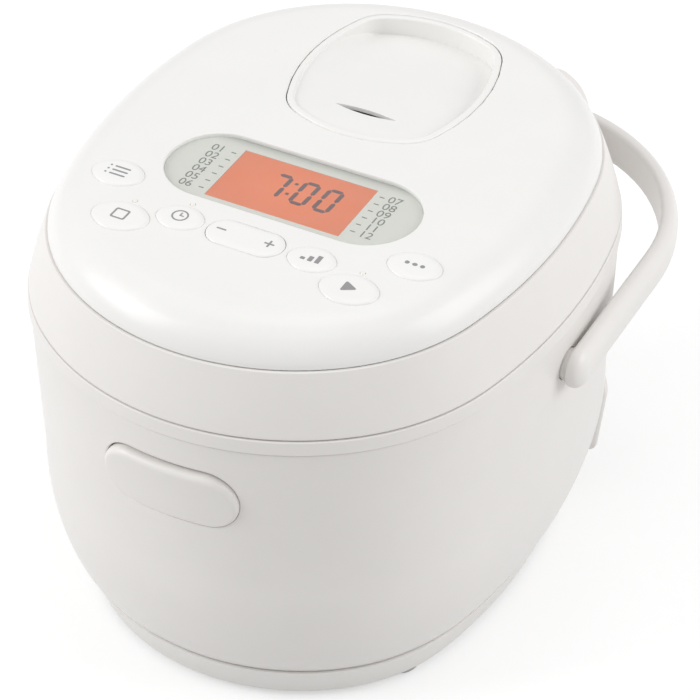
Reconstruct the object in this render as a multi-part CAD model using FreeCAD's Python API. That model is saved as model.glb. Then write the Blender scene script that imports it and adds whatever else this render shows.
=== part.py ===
import FreeCAD, Part
import math
import os

V = FreeCAD.Vector
UP = V(0, 0, 1)
XDIR = V(1, 0, 0)
YDIR = V(0, 1, 0)
os.makedirs("parts", exist_ok=True)

# Plan outline of the seam: tangent arcs of the right half, front to back, with their turns in degrees.
FRONT_Y = -151.3
EGG_RADII = [115.6, 100.2, 260.4, 102.2]
EGG_TURNS = [38.32, 36.97, 25.25, 43.67]

# Levels.
FLOOR_GAP = 3.2
BODY_BOTTOM = 19.8
BODY_TOP = 153.8
SEAM = 161.0
PANEL_EDGE = 189.3
TOP = 204.8
PANEL_T = 2.5
PANEL_FLAT = 28.0

# Pot, chamber and heater share one vertical axis.
POT_Y = -14.0
POT_R = 80.0
POT_WALL = 2.0
POT_BOTTOM = 46.0
POT_RIM = 158.0

# Display and keys on the flat control area.
WINDOW_Y = -42.5
WINDOW_HALF = (57.5, 23.0)
LCD_Y = -43.5
LCD_SIZE = (62.2, 35.2)
KEYS = {
    "key_menu": (-68.5, -66.8, 23.0, 17.5),
    "key_cancel": (-52.3, -92.0, 25.0, 19.0),
    "key_timer": (-30.2, -81.8, 20.6, 16.0),
    "key_firmness": (30.2, -81.8, 20.6, 16.0),
    "key_start": (52.3, -92.0, 25.0, 19.0),
    "key_grade": (68.5, -66.8, 23.0, 17.5),
}
TIME_KEY = (0.0, -81.8, 34.0, 16.0)
KEY_TOP = TOP + 1.2
KEY_GAP = 0.4
ROCKER_GAP = 0.55
LAMPS = [(-52.3, -80.2), (-30.2, -71.5), (52.3, -80.2)]

# Steam cap in its well.
CAP_Y = 50.0
CAP_HALF = (42.0, 49.0)
CAP_CORNER = 20.0
CAP_GAP = 0.4
CAP_RIM = 3.2
STEAM_Y = 45.0

# Release button and its latch.
BUTTON_Z = 124.1
BUTTON_HALF = (31.0, 14.1)
LATCH_Y, LATCH_Z = -139.5, 108.5

# Lid hinge, carrying handle and power inlet.
HINGE_Y, HINGE_Z = 132.5, 166.0
HINGE_R = 5.8
ARM_X = (16.0, 28.0)
HANDLE_Y, HANDLE_Z = -13.0, 134.0
HANDLE_X = 119.9
HANDLE_T = 8.0
HANDLE_H = 18.5
HANDLE_STRAIGHT = 62.5
HANDLE_BEND = 88.2
INLET_ANGLE = 126.0

SCREW_R = 1.5
BASE_SCREWS = [(-82, -46), (82, -46), (-80, 28), (80, 28)]
LID_SCREWS = [(-73, -84), (73, -84), (-62, 82), (62, 82)]
BOARD_POSTS = [(-72, -40), (72, -40), (-34, -112), (34, -112)]
FEET = [(-72, -82), (72, -82), (-62, 64), (62, 64)]
HINGE_TONGUE_X = 40.0


def box(x0, x1, y0, y1, z0, z1):
    return Part.makeBox(x1 - x0, y1 - y0, z1 - z0, V(x0, y0, z0))


def rod(r, p, direction, length):
    return Part.makeCylinder(r, length, p, direction)


def tube(r_out, r_in, p, direction, length):
    return rod(r_out, p, direction, length).cut(rod(r_in, p, direction, length))


def both_sides(shape):
    return [shape, shape.mirror(V(0, 0, 0), XDIR)]


def fuse(shapes):
    return shapes[0].multiFuse(shapes[1:]).removeSplitter() if len(shapes) > 1 else shapes[0]


def loop_face(loop, place):
    """Face bounded by a closed loop: pairs are line ends, fours are an arc's middle and end."""
    edges = []
    last = place(*loop[0][-2:])
    for item in loop[1:] + [loop[0][-2:]]:
        end = place(*item[-2:])
        if len(item) == 4:
            edges.append(Part.Arc(last, place(*item[:2]), end).toShape())
        elif end.distanceToPoint(last) > 1e-6:
            edges.append(Part.makeLine(last, end))
        last = end
    return Part.Face(Part.Wire(edges))


def turned(loop, x=0.0, y=0.0):
    """Solid turned about a vertical axis from a loop of (radius, height)."""
    face = loop_face(loop, lambda r, z: V(x + r, y, z))
    return face.revolve(V(x, y, 0), UP, 360)


def along_x(loop, x0, x1):
    """Prism along X from a loop of (y, z)."""
    return loop_face(loop, lambda y, z: V(x0, y, z)).extrude(V(x1 - x0, 0, 0))


def along_z(loop, z0, z1):
    """Prism along Z from a loop of (x, y)."""
    return loop_face(loop, lambda x, y: V(x, y, z0)).extrude(V(0, 0, z1 - z0))


def egg_sectors():
    """Arcs of the outline's right half: centre, radius, start angle and turn."""
    ends = [0.0]
    for turn in EGG_TURNS:
        ends.append(ends[-1] + turn)
    sines = [math.sin(math.radians(t)) for t in ends]
    closing = sum(r * (sines[i + 1] - sines[i]) for i, r in enumerate(EGG_RADII)) / sines[-1]
    radii = EGG_RADII + [closing]
    ends.append(180.0)
    centre = V(0, FRONT_Y + radii[0], 0)
    sectors = []
    for i, r in enumerate(radii):
        if i:
            centre = centre + outward(ends[i]) * (radii[i - 1] - r)
        sectors.append((centre, r, ends[i], ends[i + 1] - ends[i]))
    return sectors


def outward(angle):
    """Horizontal unit normal of the outline at an angle from the front centre."""
    return V(math.sin(math.radians(angle)), -math.cos(math.radians(angle)), 0)


SECTORS = egg_sectors()


def egg_plate(inset, z0, z1):
    """Plate with the outline drawn in by an inset."""
    right = []
    for centre, r, start, turn in SECTORS:
        points = [centre + outward(start + turn * k / 2) * (r - inset) for k in range(3)]
        right.append(Part.Arc(*[V(p.x, p.y, z0) for p in points]).toShape())
    left = [e.mirror(V(0, 0, 0), XDIR) for e in reversed(right)]
    wire = Part.Wire(Part.sortEdges(right + left)[0])
    return Part.Face(wire).extrude(V(0, 0, z1 - z0))


def egg_ring(loop):
    """Wall that follows the outline, from a loop of (inset, height)."""
    parts = []
    for centre, r, start, turn in SECTORS:
        n = outward(start)
        face = loop_face(loop, lambda inset, z: centre + n * (r - inset) + UP * z)
        sector = face.revolve(centre, UP, turn)
        parts += both_sides(sector)
    return fuse(parts)


def oval_loop(x, y, a, b):
    """Oval of two end arcs and two side arcs with half-axes a and b, a the longer."""
    r = 0.72 * b
    big = ((a - r) ** 2 + b ** 2 - r ** 2) / (2 * (b - r))
    lean = math.atan2(a - r, big - b)
    px, py = big * math.sin(lean), big * math.cos(lean) - (big - b)
    return [(x - px, y - py), (x, y - b, x + px, y - py), (x + a, y, x + px, y + py),
            (x, y + b, x - px, y + py), (x - a, y, x - px, y - py)]


def stadium_loop(x, y, a, b):
    s = a - b
    return [(x - s, y - b), (x + s, y - b), (x + a, y, x + s, y + b), (x - s, y + b),
            (x - a, y, x - s, y - b)]


def cap_loop(grow):
    """Rounded-square outline of the steam cap's opening, grown outwards, as (x, y)."""
    a, b = CAP_HALF
    t1, t2 = math.radians(25), math.radians(68)
    s1, c1, s2, c2 = math.sin(t1), math.cos(t1), math.sin(t2), math.cos(t2)
    ra = a - CAP_CORNER * (s2 - s1)
    rb = b - CAP_CORNER * (c1 - c2)
    side = (rb * s1 - ra * (1 - c1)) / (c2 * s1 - (1 - s2) * (1 - c1))
    end = (ra - side * (1 - s2)) / s1
    chain = [(V(0, end - b, 0), end, 0, 25)]
    chain.append((chain[0][0] + outward(25) * (end - CAP_CORNER), CAP_CORNER, 25, 68))
    chain.append((V(a - side, 0, 0), side, 68, 90))
    half = [(0.0, -b - grow)]
    for centre, r, start, stop in chain:
        for t in ((start + stop) / 2, stop):
            p = centre + outward(t) * (r + grow)
            half.append((p.x, p.y))
    half += [(x, -y) for x, y in reversed(half[:-1])]
    ring = half + [(-x, y) for x, y in reversed(half[:-1])]
    ring = [(x, y + CAP_Y) for x, y in ring]
    return [ring[0]] + [ring[i] + ring[i + 1] for i in range(1, len(ring), 2)]


def coil(start, direction, radius, wire_r, pitch, turns):
    """Round-wire helical spring from a start point along a direction."""
    path = Part.makeHelix(pitch, pitch * turns, radius)
    ring = Part.Wire(Part.makeCircle(wire_r, V(radius, 0, 0), YDIR))
    spring = Part.Wire(path).makePipeShell([ring], True, True)
    spring.Placement = FreeCAD.Placement(start, FreeCAD.Rotation(UP, direction))
    return spring


def write(name, shapes):
    shapes = shapes if isinstance(shapes, list) else [shapes]
    solids = [s for shape in shapes for s in shape.Solids]
    whole = solids[0] if len(solids) == 1 else Part.makeCompound(solids)
    whole.exportStep("parts/%s.step" % name)
    good = all(s.isValid() and s.Volume > 0 for s in solids)
    print("%-18s solids %2d  volume %9.1f  valid %s" % (name, len(solids), sum(s.Volume for s in solids), good))


def inlet_place(shape):
    """Turn a shape drawn with X outwards from the inlet's arc centre into its place."""
    shape = shape.copy()
    shape.Placement = FreeCAD.Placement(SECTORS[3][0], FreeCAD.Rotation(UP, INLET_ANGLE - 90))
    return shape


def inlet_hood():
    r = SECTORS[3][1]
    side = [(r - 15, 20), (r - 7.6, 20), (r - 5.8, 22), (r - 2.0, 57), (r - 3.6, 61), (r - 15, 61)]
    block = loop_face(side, lambda x, z: V(x, -20, z)).extrude(V(0, 40, 0))
    corners = box(r - 30, r, -20, 20, 20, 61)
    corners = corners.makeFillet(7, [e for e in corners.Edges if abs(e.tangentAt(e.FirstParameter).x) > 0.9])
    return inlet_place(block.common(corners))


def body_shell():
    wall = egg_ring([(13.5, BODY_BOTTOM), (6.0, 42, 2.6, 80), (0.5, BODY_TOP), (3.2, BODY_TOP), (5.2, 80),
                     (8.8, 43, 16.2, 21.6), (16.2, BODY_BOTTOM)])
    added = [inlet_hood()]
    for x, y in BASE_SCREWS:
        s = 1 if x > 0 else -1
        shift = 0 if y < 0 else 2.0
        added.append(rod(4.0, V(x, y, FLOOR_GAP + 2.6), UP, 24))
        web = [(x, 24.4), (s * (97.2 + shift), 24.4), (s * (99.3 + shift), 29.8), (x, 29.8)]
        added.append(loop_face(web, lambda px, pz: V(px, y - 1.5, pz)).extrude(V(0, 3, 0)))
    for s in (1, -1):
        added.append(rod(10.5, V(s * 108, HANDLE_Y, HANDLE_Z), XDIR * s, 4.5))
        ear = along_x([(-146.4, 100), (-139, 100), (-136.0, 104), (-136.0, 108.5), (-139.5, 112, -143, 108.5),
                       (-143, 107), (-146.4, 107)], s * 19, s * 23)
        added.append(ear)
    shell = fuse([wall] + added)
    bores = [rod(7.08, V(s * 100, HANDLE_Y, HANDLE_Z), XDIR * s, 20) for s in (1, -1)]
    bores += [rod(1.25, V(x, y, 0), UP, 24) for x, y in BASE_SCREWS]
    bores.append(rod(1.55, V(-30, LATCH_Y, LATCH_Z), XDIR, 60))
    opening = stadium_loop(0, BUTTON_Z + 0.3, BUTTON_HALF[0] + 0.6, BUTTON_HALF[1] + 0.8)
    bores.append(loop_face(opening, lambda x, z: V(x, -165, z)).extrude(V(0, 24, 0)))
    r = SECTORS[3][1]
    bores.append(inlet_place(box(r - 40, r + 6, -14.2, 14.2, 27.8, 50.2)))
    bores += both_sides(box(HINGE_TONGUE_X - 5.2, HINGE_TONGUE_X + 5.2, 100, 130, 127.8, 132.8))
    return shell.cut(Part.makeCompound(bores))


def base_cover():
    rim = egg_ring([(14.8, 19.4), (20.6, FLOOR_GAP), (30, FLOOR_GAP), (30, 5.7), (22.6, 5.7), (18.6, 17.5),
                    (18.6, 24), (16.8, 24), (16.8, 19.4)])
    added = [egg_plate(30, FLOOR_GAP, 5.7), rod(12, V(0, POT_Y, 5.7), UP, 20.3)]
    for x in (-45, 45):
        added.append(box(x - 5, x + 5, -114.5, -108, 5.5, 33))
    cover = fuse([rim] + added)
    cuts = [rod(8.08, V(0, POT_Y, 8), UP, 20)]
    cuts += [box(-60, 60, -112.1, -110.3, 26, 34)]
    for x, y in BASE_SCREWS:
        cuts += [rod(1.8, V(x, y, 0), UP, 8), rod(3.4, V(x, y, 0), UP, FLOOR_GAP + 1.2)]
    cuts += [rod(8.1, V(x, y, 0), UP, FLOOR_GAP + 1.0) for x, y in FEET]
    for i in range(8):
        for y in (-62, 32):
            cuts.append(box(-38.5 + 11 * i - 1.6, -38.5 + 11 * i + 1.6, y - 13, y + 13, 0, 8))
    return cover.cut(Part.makeCompound(cuts))


def feet():
    foot = [(0, 0), (6.6, 0), (8, 1.4), (8, 4.1), (0, 4.1)]
    return [turned(foot, x, y) for x, y in FEET]


def cross_recess(x, y, z0, z1):
    return fuse([box(x - 1.7, x + 1.7, y - 0.35, y + 0.35, z0, z1), box(x - 0.35, x + 0.35, y - 1.7, y + 1.7, z0, z1)])


def base_screws():
    low = FLOOR_GAP - 0.3
    screw = [(0, low), (2.4, low), (3.1, low + 0.8), (3.1, 4.3), (1.2, 4.3), (1.2, 22), (0, 23)]
    return [turned(screw, x, y).cut(cross_recess(x, y, 0, low + 0.9)) for x, y in BASE_SCREWS]


def shoulder_ring():
    band = egg_ring([(0.0, SEAM - 0.1), (-0.4, 154.3), (1.6, 154.3), (1.6, 156.5), (3.6, 156.5), (3.6, 148),
                     (5.4, 148), (5.4, 156.5), (8, 156.5), (8, 159), (1.9, 159), (1.9, SEAM - 0.1)])
    plate = egg_plate(8, 156.5, 159).cut(rod(89.5, V(0, POT_Y, 150), UP, 20))
    seat = turned([(82.5, 153.5), (91.5, 153.5), (91.5, 158), (89.5, 158), (89.5, 156), (82.5, 156)], 0, POT_Y)
    ring = fuse([band, plate, seat])
    return ring.cut(box(-14, 14, -141.5, -128, 150, 165))


def pot_chamber():
    return turned([(84.5, 33), (84.5, 153.4), (90, 153.4), (90, 152.4), (85.5, 152.4), (85.5, 32), (69, 32),
                   (69, 33)], 0, POT_Y)


def heater_plate():
    plate = turned([(17, 46), (60, 46), (65.6, 44.4), (67, 42), (67, 38), (59, 38), (57, 34), (47, 34), (45, 38),
                    (17, 38)], 0, POT_Y)
    posts = [rod(4, V(52 * math.cos(a), POT_Y + 52 * math.sin(a), 33), UP, 6) for a in support_angles()]
    return fuse([plate] + posts)


def support_angles():
    return [math.radians(30 + 120 * k) for k in range(3)]


def heater_supports():
    leg = [(0, 5.7), (7, 5.7), (7, 7.2), (4.5, 9), (4.5, 33), (0, 33)]
    return [turned(leg, 52 * math.cos(a), POT_Y + 52 * math.sin(a)) for a in support_angles()]


def inner_pot():
    k = 1 - math.sqrt(0.5)
    r, w, low = POT_R, POT_WALL, POT_BOTTOM
    corner = 22.0
    mid_out = (r - corner * k, low + corner * k)
    c = corner - w
    mid_in = (r - w - c * k, low + w + c * k)
    return turned([(0, low), (r - corner, low), mid_out + (r, low + corner), (r, 153.5), (r + 2.5, 156.2),
                   (87, 156.2), (88.0, 157.1, 87, POT_RIM), (r + 0.5, POT_RIM), (r - w, POT_RIM - 2),
                   (r - w, low + corner), mid_in + (r - corner, low + w), (0, low + w)], 0, POT_Y)


def sensor_cap():
    return turned([(0, 45.7), (12.5, 45.7), (13.5, 44.7), (13.5, 40), (12.6, 40), (12.6, 43.7), (8, 43.7), (8, 14),
                   (6.4, 14), (6.4, 43.0), (0, 43.0)], 0, POT_Y)


def inlet_parts():
    r = SECTORS[3][1]
    block = box(r - 34, r - 6.5, -14, 14, 28, 50)
    upright = [e for e in block.Edges if abs(e.tangentAt(e.FirstParameter).x) > 0.9]
    block = block.makeFillet(3, upright)
    recess = box(r - 24, r, -11, 11, 31, 47)
    recess = recess.makeFillet(2.5, [e for e in recess.Edges if abs(e.tangentAt(e.FirstParameter).x) > 0.9])
    holes = [rod(2.02, V(r - 40, s * 6.35, 39), XDIR, 30) for s in (1, -1)]
    socket = block.cut(Part.makeCompound([recess] + holes))
    pins = []
    for s in (1, -1):
        pin = rod(2.0, V(r - 38, s * 6.35, 39), XDIR, 25)
        tip = [e for e in pin.Edges if e.Closed and e.CenterOfMass.x > r - 14]
        pins.append(inlet_place(pin.makeChamfer(0.8, tip)))
    return inlet_place(socket), pins


def power_board():
    board = box(-55, 55, -112, -110.4, 26.2, 96)
    holes = [rod(1.6, V(x, -115, z), YDIR, 8) for x in (-50, 50) for z in (42, 91)]
    return board.cut(Part.makeCompound(holes))


def board_parts():
    core = box(-46, -12, -126, -112, 50, 80)
    winding = box(-40, -18, -129.5, -112, 55, 75).cut(core)
    relay = box(2, 22, -127.5, -112, 54, 70)
    capacitor = rod(6, V(34, -112, 62), V(0, -1, 0), 17)
    fuse_tube = rod(2.6, V(0, -115, 84), XDIR, 22)
    connector = box(30, 48, -120, -112, 78, 90)
    sink = fuse([box(-4, -1, -126, -112, 34, 50)] + [box(-10, 5, -115 - 3.5 * k, -114 - 3.5 * k, 34, 50)
                                                     for k in range(4)])
    return [fuse([core, winding]), relay, capacitor, fuse_tube, connector, sink]


def hinge_housing():
    """Hump behind the lid: rounded over the hinge axis, in plan and at its shoulders, hollow below."""
    k = HINGE_R * math.sqrt(0.5)
    back = HINGE_Y + HINGE_R
    profile = [(back, HINGE_Z), (HINGE_Y + k, HINGE_Z + k, HINGE_Y, HINGE_Z + HINGE_R),
               (HINGE_Y - k, HINGE_Z + k, HINGE_Y - HINGE_R, HINGE_Z), (95, 161.6), (95, 108), (123, 108),
               (back - 2.6, 132, back, HINGE_Z)]
    block = along_x(profile, -61, 61)
    shoulders = [(-61, 108), (61, 108), (61, 142), (52, 163, 30, 172), (-30, 172), (-52, 163, -61, 142)]
    block = block.common(loop_face(shoulders, lambda x, z: V(x, 90, z)).extrude(V(0, 60, 0)))
    plan = [(-61, 90), (61, 90), (61, 122), (58.5, 131, 49, back - 1.6), (0, back, -49, back - 1.6),
            (-58.5, 131, -61, 122)]
    block = block.common(along_z(plan, 100, 180))
    clear = [egg_plate(-0.45, 100, 175)]
    clear += both_sides(box(ARM_X[0] - 0.5, ARM_X[1] + 0.5, 100, 150, HINGE_Z - 6.2, 180))
    clear.append(rod(4.4, V(-11, HINGE_Y, HINGE_Z), XDIR, 22))
    clear.append(box(-11, 11, 110, HINGE_Y, HINGE_Z - 4.4, HINGE_Z + 3.0))
    clear.append(rod(2.02, V(-37, HINGE_Y, HINGE_Z), XDIR, 74))
    hollow = [(95, 104), (119, 104), (131.6, 132, 133.6, 150), (133.6, 157), (95, 157)]
    clear += both_sides(along_x(hollow, 1.5, 46))
    housing = block.cut(Part.makeCompound(clear))
    tongue = [(112, 128), (133, 128), (133, 131), (116, 131), (114.5, 132.4), (112, 131)]
    x = HINGE_TONGUE_X
    return fuse([housing] + both_sides(along_x(tongue, x - 5, x + 5)))


def hinge_pin():
    return rod(2.0, V(-36, HINGE_Y, HINGE_Z), XDIR, 72)


def lid_ring():
    wall = egg_ring([(0.3, SEAM + 0.4), (4.3, 176, 8.7, 188.4), (9.2, 188.9), (10.5, 188.9), (10.5, 186.2),
                     (15, 186.2), (15, 184.2), (10.3, 184.2), (6.7, 175.4, 3.2, 163.4), (12, 163.4),
                     (12, SEAM + 0.4)])
    arms = []
    for s in (1, -1):
        reach = along_x([(118, SEAM + 0.5), (126, SEAM + 0.5), (HINGE_Y, HINGE_Z - 5.0), (HINGE_Y + 5.0, HINGE_Z,
                         HINGE_Y, HINGE_Z + 5.0), (124, HINGE_Z + 5.0), (118, HINGE_Z + 6)], s * ARM_X[0], s * ARM_X[1])
        arms.append(reach)
    keep_out = egg_ring([(3.4, 163.5), (3.4, 180), (30, 180), (30, 163.5)])
    arms = [arm.cut(keep_out) for arm in arms]
    ring = fuse([wall] + arms)
    return ring.cut(rod(2.06, V(-40, HINGE_Y, HINGE_Z), XDIR, 80))


def lid_top_panel():
    roll = egg_ring([(9.7, PANEL_EDGE), (15.6, 199.3, PANEL_FLAT, TOP), (40, TOP), (40, TOP - PANEL_T),
                     (28.3, TOP - PANEL_T), (17.4, 197.4, 12.6, 189.6), (12.6, 186.3), (10.9, 186.3),
                     (10.9, PANEL_EDGE)])
    added = [egg_plate(40, TOP - PANEL_T, TOP)]
    well = along_z(cap_loop(1.6), 172.5, TOP - 1)
    added.append(well)
    for x, y in LID_SCREWS:
        added.append(rod(4.0, V(x, y, 165.6), UP, 36.8 if y < 0 else 34.4))
    added += [rod(3.0, V(x, y, 191.6), UP, 11.2) for x, y in BOARD_POSTS]
    panel = fuse([roll] + added)
    cuts = [along_z(cap_loop(0), 174, TOP + 5), rod(7.5, V(0, STEAM_Y, 165), UP, 20)]
    cuts.append(along_z(stadium_loop(0, WINDOW_Y, *WINDOW_HALF), 195, TOP + 5))
    for x, y, a, b in KEYS.values():
        cuts.append(along_z(oval_loop(x, y, a / 2 + KEY_GAP, b / 2 + KEY_GAP), 195, TOP + 5))
    x, y, a, b = TIME_KEY
    cuts.append(along_z(stadium_loop(x, y, a / 2 + ROCKER_GAP, b / 2 + ROCKER_GAP), 195, TOP + 5))
    cuts += [rod(1.1, V(x, y, 195), UP, 15) for x, y in LAMPS]
    cuts += [rod(1.3, V(x, y, 160), UP, 22) for x, y in LID_SCREWS]
    return panel.cut(Part.makeCompound(cuts))


def lid_underplate():
    plate = egg_plate(4, 163.5, 165.5)
    wall = turned([(88, 160.2), (90, 160.2), (90, 164), (88, 164)], 0, POT_Y)
    spigot = rod(7.4, V(0, STEAM_Y, 164), UP, 5)
    body = fuse([plate, wall, spigot])
    cuts = [rod(5.8, V(0, STEAM_Y, 160), UP, 15), box(-13, 13, -139.6, -127.5, 155, 170)]
    cuts += [rod(1.8, V(x, y, 160), UP, 10) for x, y in LID_SCREWS]
    return body.cut(Part.makeCompound(cuts))


def lid_screws():
    shape = [(0, 161.8), (2.2, 161.8), (3.0, 162.5), (3.0, 163.5), (1.25, 163.5), (1.25, 179), (0, 180)]
    return [turned(shape, x, y) for x, y in LID_SCREWS]


def inner_lid():
    plate = turned([(0, 162.2), (20, 162.2), (26, 160.7), (84.5, 160.7), (84.5, 163.2), (83.3, 163.2), (83.3, 161.7),
                    (26.4, 161.7), (20.4, 163.2), (0, 163.2)], 0, POT_Y)
    vents = [rod(1.8, V(6 * math.cos(a), STEAM_Y + 6 * math.sin(a), 155), UP, 15)
             for a in [math.radians(60 * k) for k in range(6)]]
    return plate.cut(Part.makeCompound(vents))


def inner_lid_gasket():
    return turned([(79, 160.6), (79, 159.6), (80.5, 158.4), (86, 158.4), (87.6, 160.2), (87.6, 163.3), (84.6, 163.3),
                   (84.6, 160.6)], 0, POT_Y)


def steam_gasket():
    return turned([(7.5, 165.6), (11, 165.6), (11, 167), (9.4, 168), (9.4, 171), (11, 172.4), (7.5, 172.4)],
                  0, STEAM_Y)


def lid_catch():
    clip = fuse([box(-12, 12, -146, -138.5, 165.5, 166.9), box(-12, 12, -139.5, -138.5, 163.6, 166)])
    return clip.cut(Part.makeCompound([rod(1.3, V(x, -143, 160), UP, 10) for x in (-8, 8)]))


def display_parts():
    a, b = WINDOW_HALF
    sill = TOP - PANEL_T
    window = along_z(stadium_loop(0, WINDOW_Y, a - 0.15, b - 0.15), sill + 0.7, TOP - 0.8)
    legend = fuse([along_z(stadium_loop(0, WINDOW_Y, a - 0.15, b - 0.15), sill - 0.3, sill + 0.7),
                   along_z(stadium_loop(0, WINDOW_Y, a + 2.2, b + 2.2), sill - 1.1, sill)])
    w, h = LCD_SIZE
    legend = legend.cut(box(-w / 2, w / 2, LCD_Y - h / 2, LCD_Y + h / 2, 195, 205))
    panel = fuse([box(-w / 2 - 2, w / 2 + 2, LCD_Y - h / 2 - 2, LCD_Y + h / 2 + 2, sill - 3.8, sill - 1.1),
                  box(-w / 2 + 0.2, w / 2 - 0.2, LCD_Y - h / 2 + 0.2, LCD_Y + h / 2 - 0.2, sill - 3, sill + 0.6),
                  box(-w / 2, w / 2, LCD_Y - h / 2, LCD_Y + h / 2, 191.6, sill - 3)])
    return window, legend, panel


def control_board():
    board = egg_plate(22, 190, 191.6).common(box(-120, 120, -140, -24, 180, 200))
    holes = [rod(1.3, V(x, y, 180), UP, 20) for x, y in BOARD_POSTS]
    holes += [rod(4.6, V(x, y, 180), UP, 20) for x, y in LID_SCREWS if y < 0]
    return board.cut(Part.makeCompound(holes))


def switches():
    spots = [(x, y) for x, y, a, b in KEYS.values()] + [(-12, TIME_KEY[1]), (12, TIME_KEY[1])]
    return [fuse([box(x - 3.1, x + 3.1, y - 3.1, y + 3.1, 191.6, 195.2), rod(1.7, V(x, y, 195), UP, 1.4)])
            for x, y in spots]


def key(outline, x, y, a, b, stems):
    """Key pad with a rounded top, a retaining flange under the panel and its stems."""
    pad = along_z(outline(x, y, a / 2, b / 2), 200.2, KEY_TOP)
    crown = [e for e in pad.Edges if e.BoundBox.ZMin > KEY_TOP - 0.01]
    pad = pad.makeFillet(0.9, crown)
    flange = along_z(outline(x, y, a / 2 + 0.9, b / 2 + 0.9), 200.2, 201.4)
    return fuse([pad, flange] + [rod(2.2, V(x + dx, y, 197.4), UP, 4) for dx in stems])


def lamps():
    shape = [(0, 191.6), (1.0, 191.6), (1.0, TOP), (0.6, TOP + 0.35), (0, TOP + 0.35)]
    return [turned(shape, x, y) for x, y in LAMPS]


def steam_cap():
    low, dip = 192.5, 195.2
    outer = along_z(cap_loop(-CAP_GAP), low, TOP)
    inner = along_z(cap_loop(-CAP_GAP - CAP_RIM), low - 5, TOP + 5)
    y0, y1 = CAP_Y - 50, CAP_Y + 50
    above = along_x([(y0, TOP - 0.6), (y0 + 12, TOP - 0.8), (y1, dip), (y1, 215), (y0, 215)], -50, 50)
    below = along_x([(y0, 180), (y1, 180), (y1, dip - 2), (y0 + 12, TOP - 2.8), (y0, TOP - 2.6)], -50, 50)
    slot = along_z([(-14.5, 22.6), (0, 20.6, 14.5, 22.6), (0, 24.6, -14.5, 22.6)], 180, 215)
    cap = outer.cut(inner.common(above)).cut(inner.common(below)).cut(slot)
    collar = tube(28, 26.4, V(0, STEAM_Y, 189), UP, 12).common(below)
    return fuse([cap, collar])


def steam_cup():
    return turned([(6.2, 178.6), (26.2, 178.6), (26.2, 192), (24.8, 192), (24.8, 180), (7.4, 180), (7.4, 186), (6.2, 186)],
                  0, STEAM_Y)


def steam_seal():
    return turned([(7.8, 174.4), (12, 174.4), (12, 175.6), (10, 176.6), (10, 178.5), (7.8, 178.5)], 0, STEAM_Y)


def release_button():
    hx, hz = BUTTON_HALF
    outline = loop_face(stadium_loop(0, BUTTON_Z, hx, hz), lambda x, z: V(x, -162, z)).extrude(V(0, 18, 0))
    centre, r, start, turn = SECTORS[0]
    slab = loop_face([(1.8, 105), (-3.2, 142), (14, 142), (14, 105)],
                     lambda inset, z: centre + outward(-22) * (r - inset) + UP * z).revolve(centre, UP, 44)
    face = outline.common(slab)
    rim = [e for e in face.Edges if e.BoundBox.YMax < -146.5 and e.Length > 8]
    face = face.makeFillet(1.2, rim)
    pockets = [along_x([(-143, 112.5), (-146.6, 112.5), (-150.2, 136), (-143, 136)], x0, x1)
               for x0, x1 in ((-22, -11), (-8, 8), (11, 22))]
    lugs = []
    for s in (1, -1):
        lugs.append(rod(3.4, V(s * 12, LATCH_Y, LATCH_Z), XDIR * s, 4))
        lugs.append(box(min(s * 12, s * 16), max(s * 12, s * 16), -145.6, LATCH_Y, 110.2, LATCH_Z + 3.4))
    whole = fuse([face.cut(Part.makeCompound(pockets))] + lugs)
    return whole.cut(rod(1.56, V(-30, LATCH_Y, LATCH_Z), XDIR, 60))


def latch_hook():
    side = [(-144, 118), (-144, 136), (-141, 141), (-137, 147), (-137, 167.6), (-138, 168), (-138, 169),
            (-136.6, 170.6), (-134, 170.6), (-134, 145), (-139, 136), (-141.6, 131), (-141.6, 118)]
    hook = along_x(side, -9, 9)
    plate = box(-14, 14, -144, -142, 120, 134)
    return fuse([hook, plate])


def latch_pin():
    return rod(1.5, V(-23, LATCH_Y, LATCH_Z), XDIR, 46)


def handle():
    t, h = HANDLE_T / 2, HANDLE_H / 2
    front = HANDLE_Y - h
    mid = math.sqrt(0.5)
    cx = HANDLE_X - HANDLE_BEND

    def half(off):
        r = HANDLE_BEND + off
        return (cx + r * mid, HANDLE_STRAIGHT + r * mid, cx, HANDLE_STRAIGHT + r)

    xo, xi = HANDLE_X + t, HANDLE_X - t
    out, inn = half(t), half(-t)
    loop = [(xo, front), (xo, HANDLE_STRAIGHT), out, (-cx, out[3]), (-out[0], out[1], -xo, HANDLE_STRAIGHT),
            (-xo, front), (-xi, front), (-xi, HANDLE_STRAIGHT), (-inn[0], inn[1], -cx, inn[3]), (cx, inn[3]),
            (inn[0], inn[1], xi, HANDLE_STRAIGHT), (xi, front)]
    band = along_z(loop, HANDLE_Z - h, HANDLE_Z + h)
    ends = [e for e in band.Edges if e.BoundBox.YMax < front + 0.01 and e.BoundBox.XLength > 1]
    band = band.makeFillet(h - 0.05, ends)
    band = band.makeFillet(3.4, [e for e in band.Edges if not side_line(e)])
    stubs = []
    for s in (1, -1):
        stub = rod(7.0, V(s * 105.2, HANDLE_Y, HANDLE_Z), XDIR * s, 12)
        stubs.append(stub.cut(tube(8, 5.8, V(s * 106.2, HANDLE_Y, HANDLE_Z), XDIR * s, 1.2)))
    return fuse([band] + stubs)


def side_line(e):
    """True for the seams between faces that already run on smoothly: short cross lines."""
    box_of = e.BoundBox
    upright = box_of.XLength < 0.01 and box_of.YLength < 0.01
    across = box_of.ZLength < 0.01 and e.Length < HANDLE_T + 0.1
    return upright or across


def handle_clips():
    clips = []
    for s in (1, -1):
        ring = tube(9.0, 5.85, V(s * 106.3, HANDLE_Y, HANDLE_Z), XDIR * s, 1.0)
        gap = box(s * 106.8 - 3, s * 106.8 + 3, HANDLE_Y - 4.0, HANDLE_Y + 4.0, HANDLE_Z - 12, HANDLE_Z)
        clips.append(ring.cut(gap))
    return clips


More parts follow.
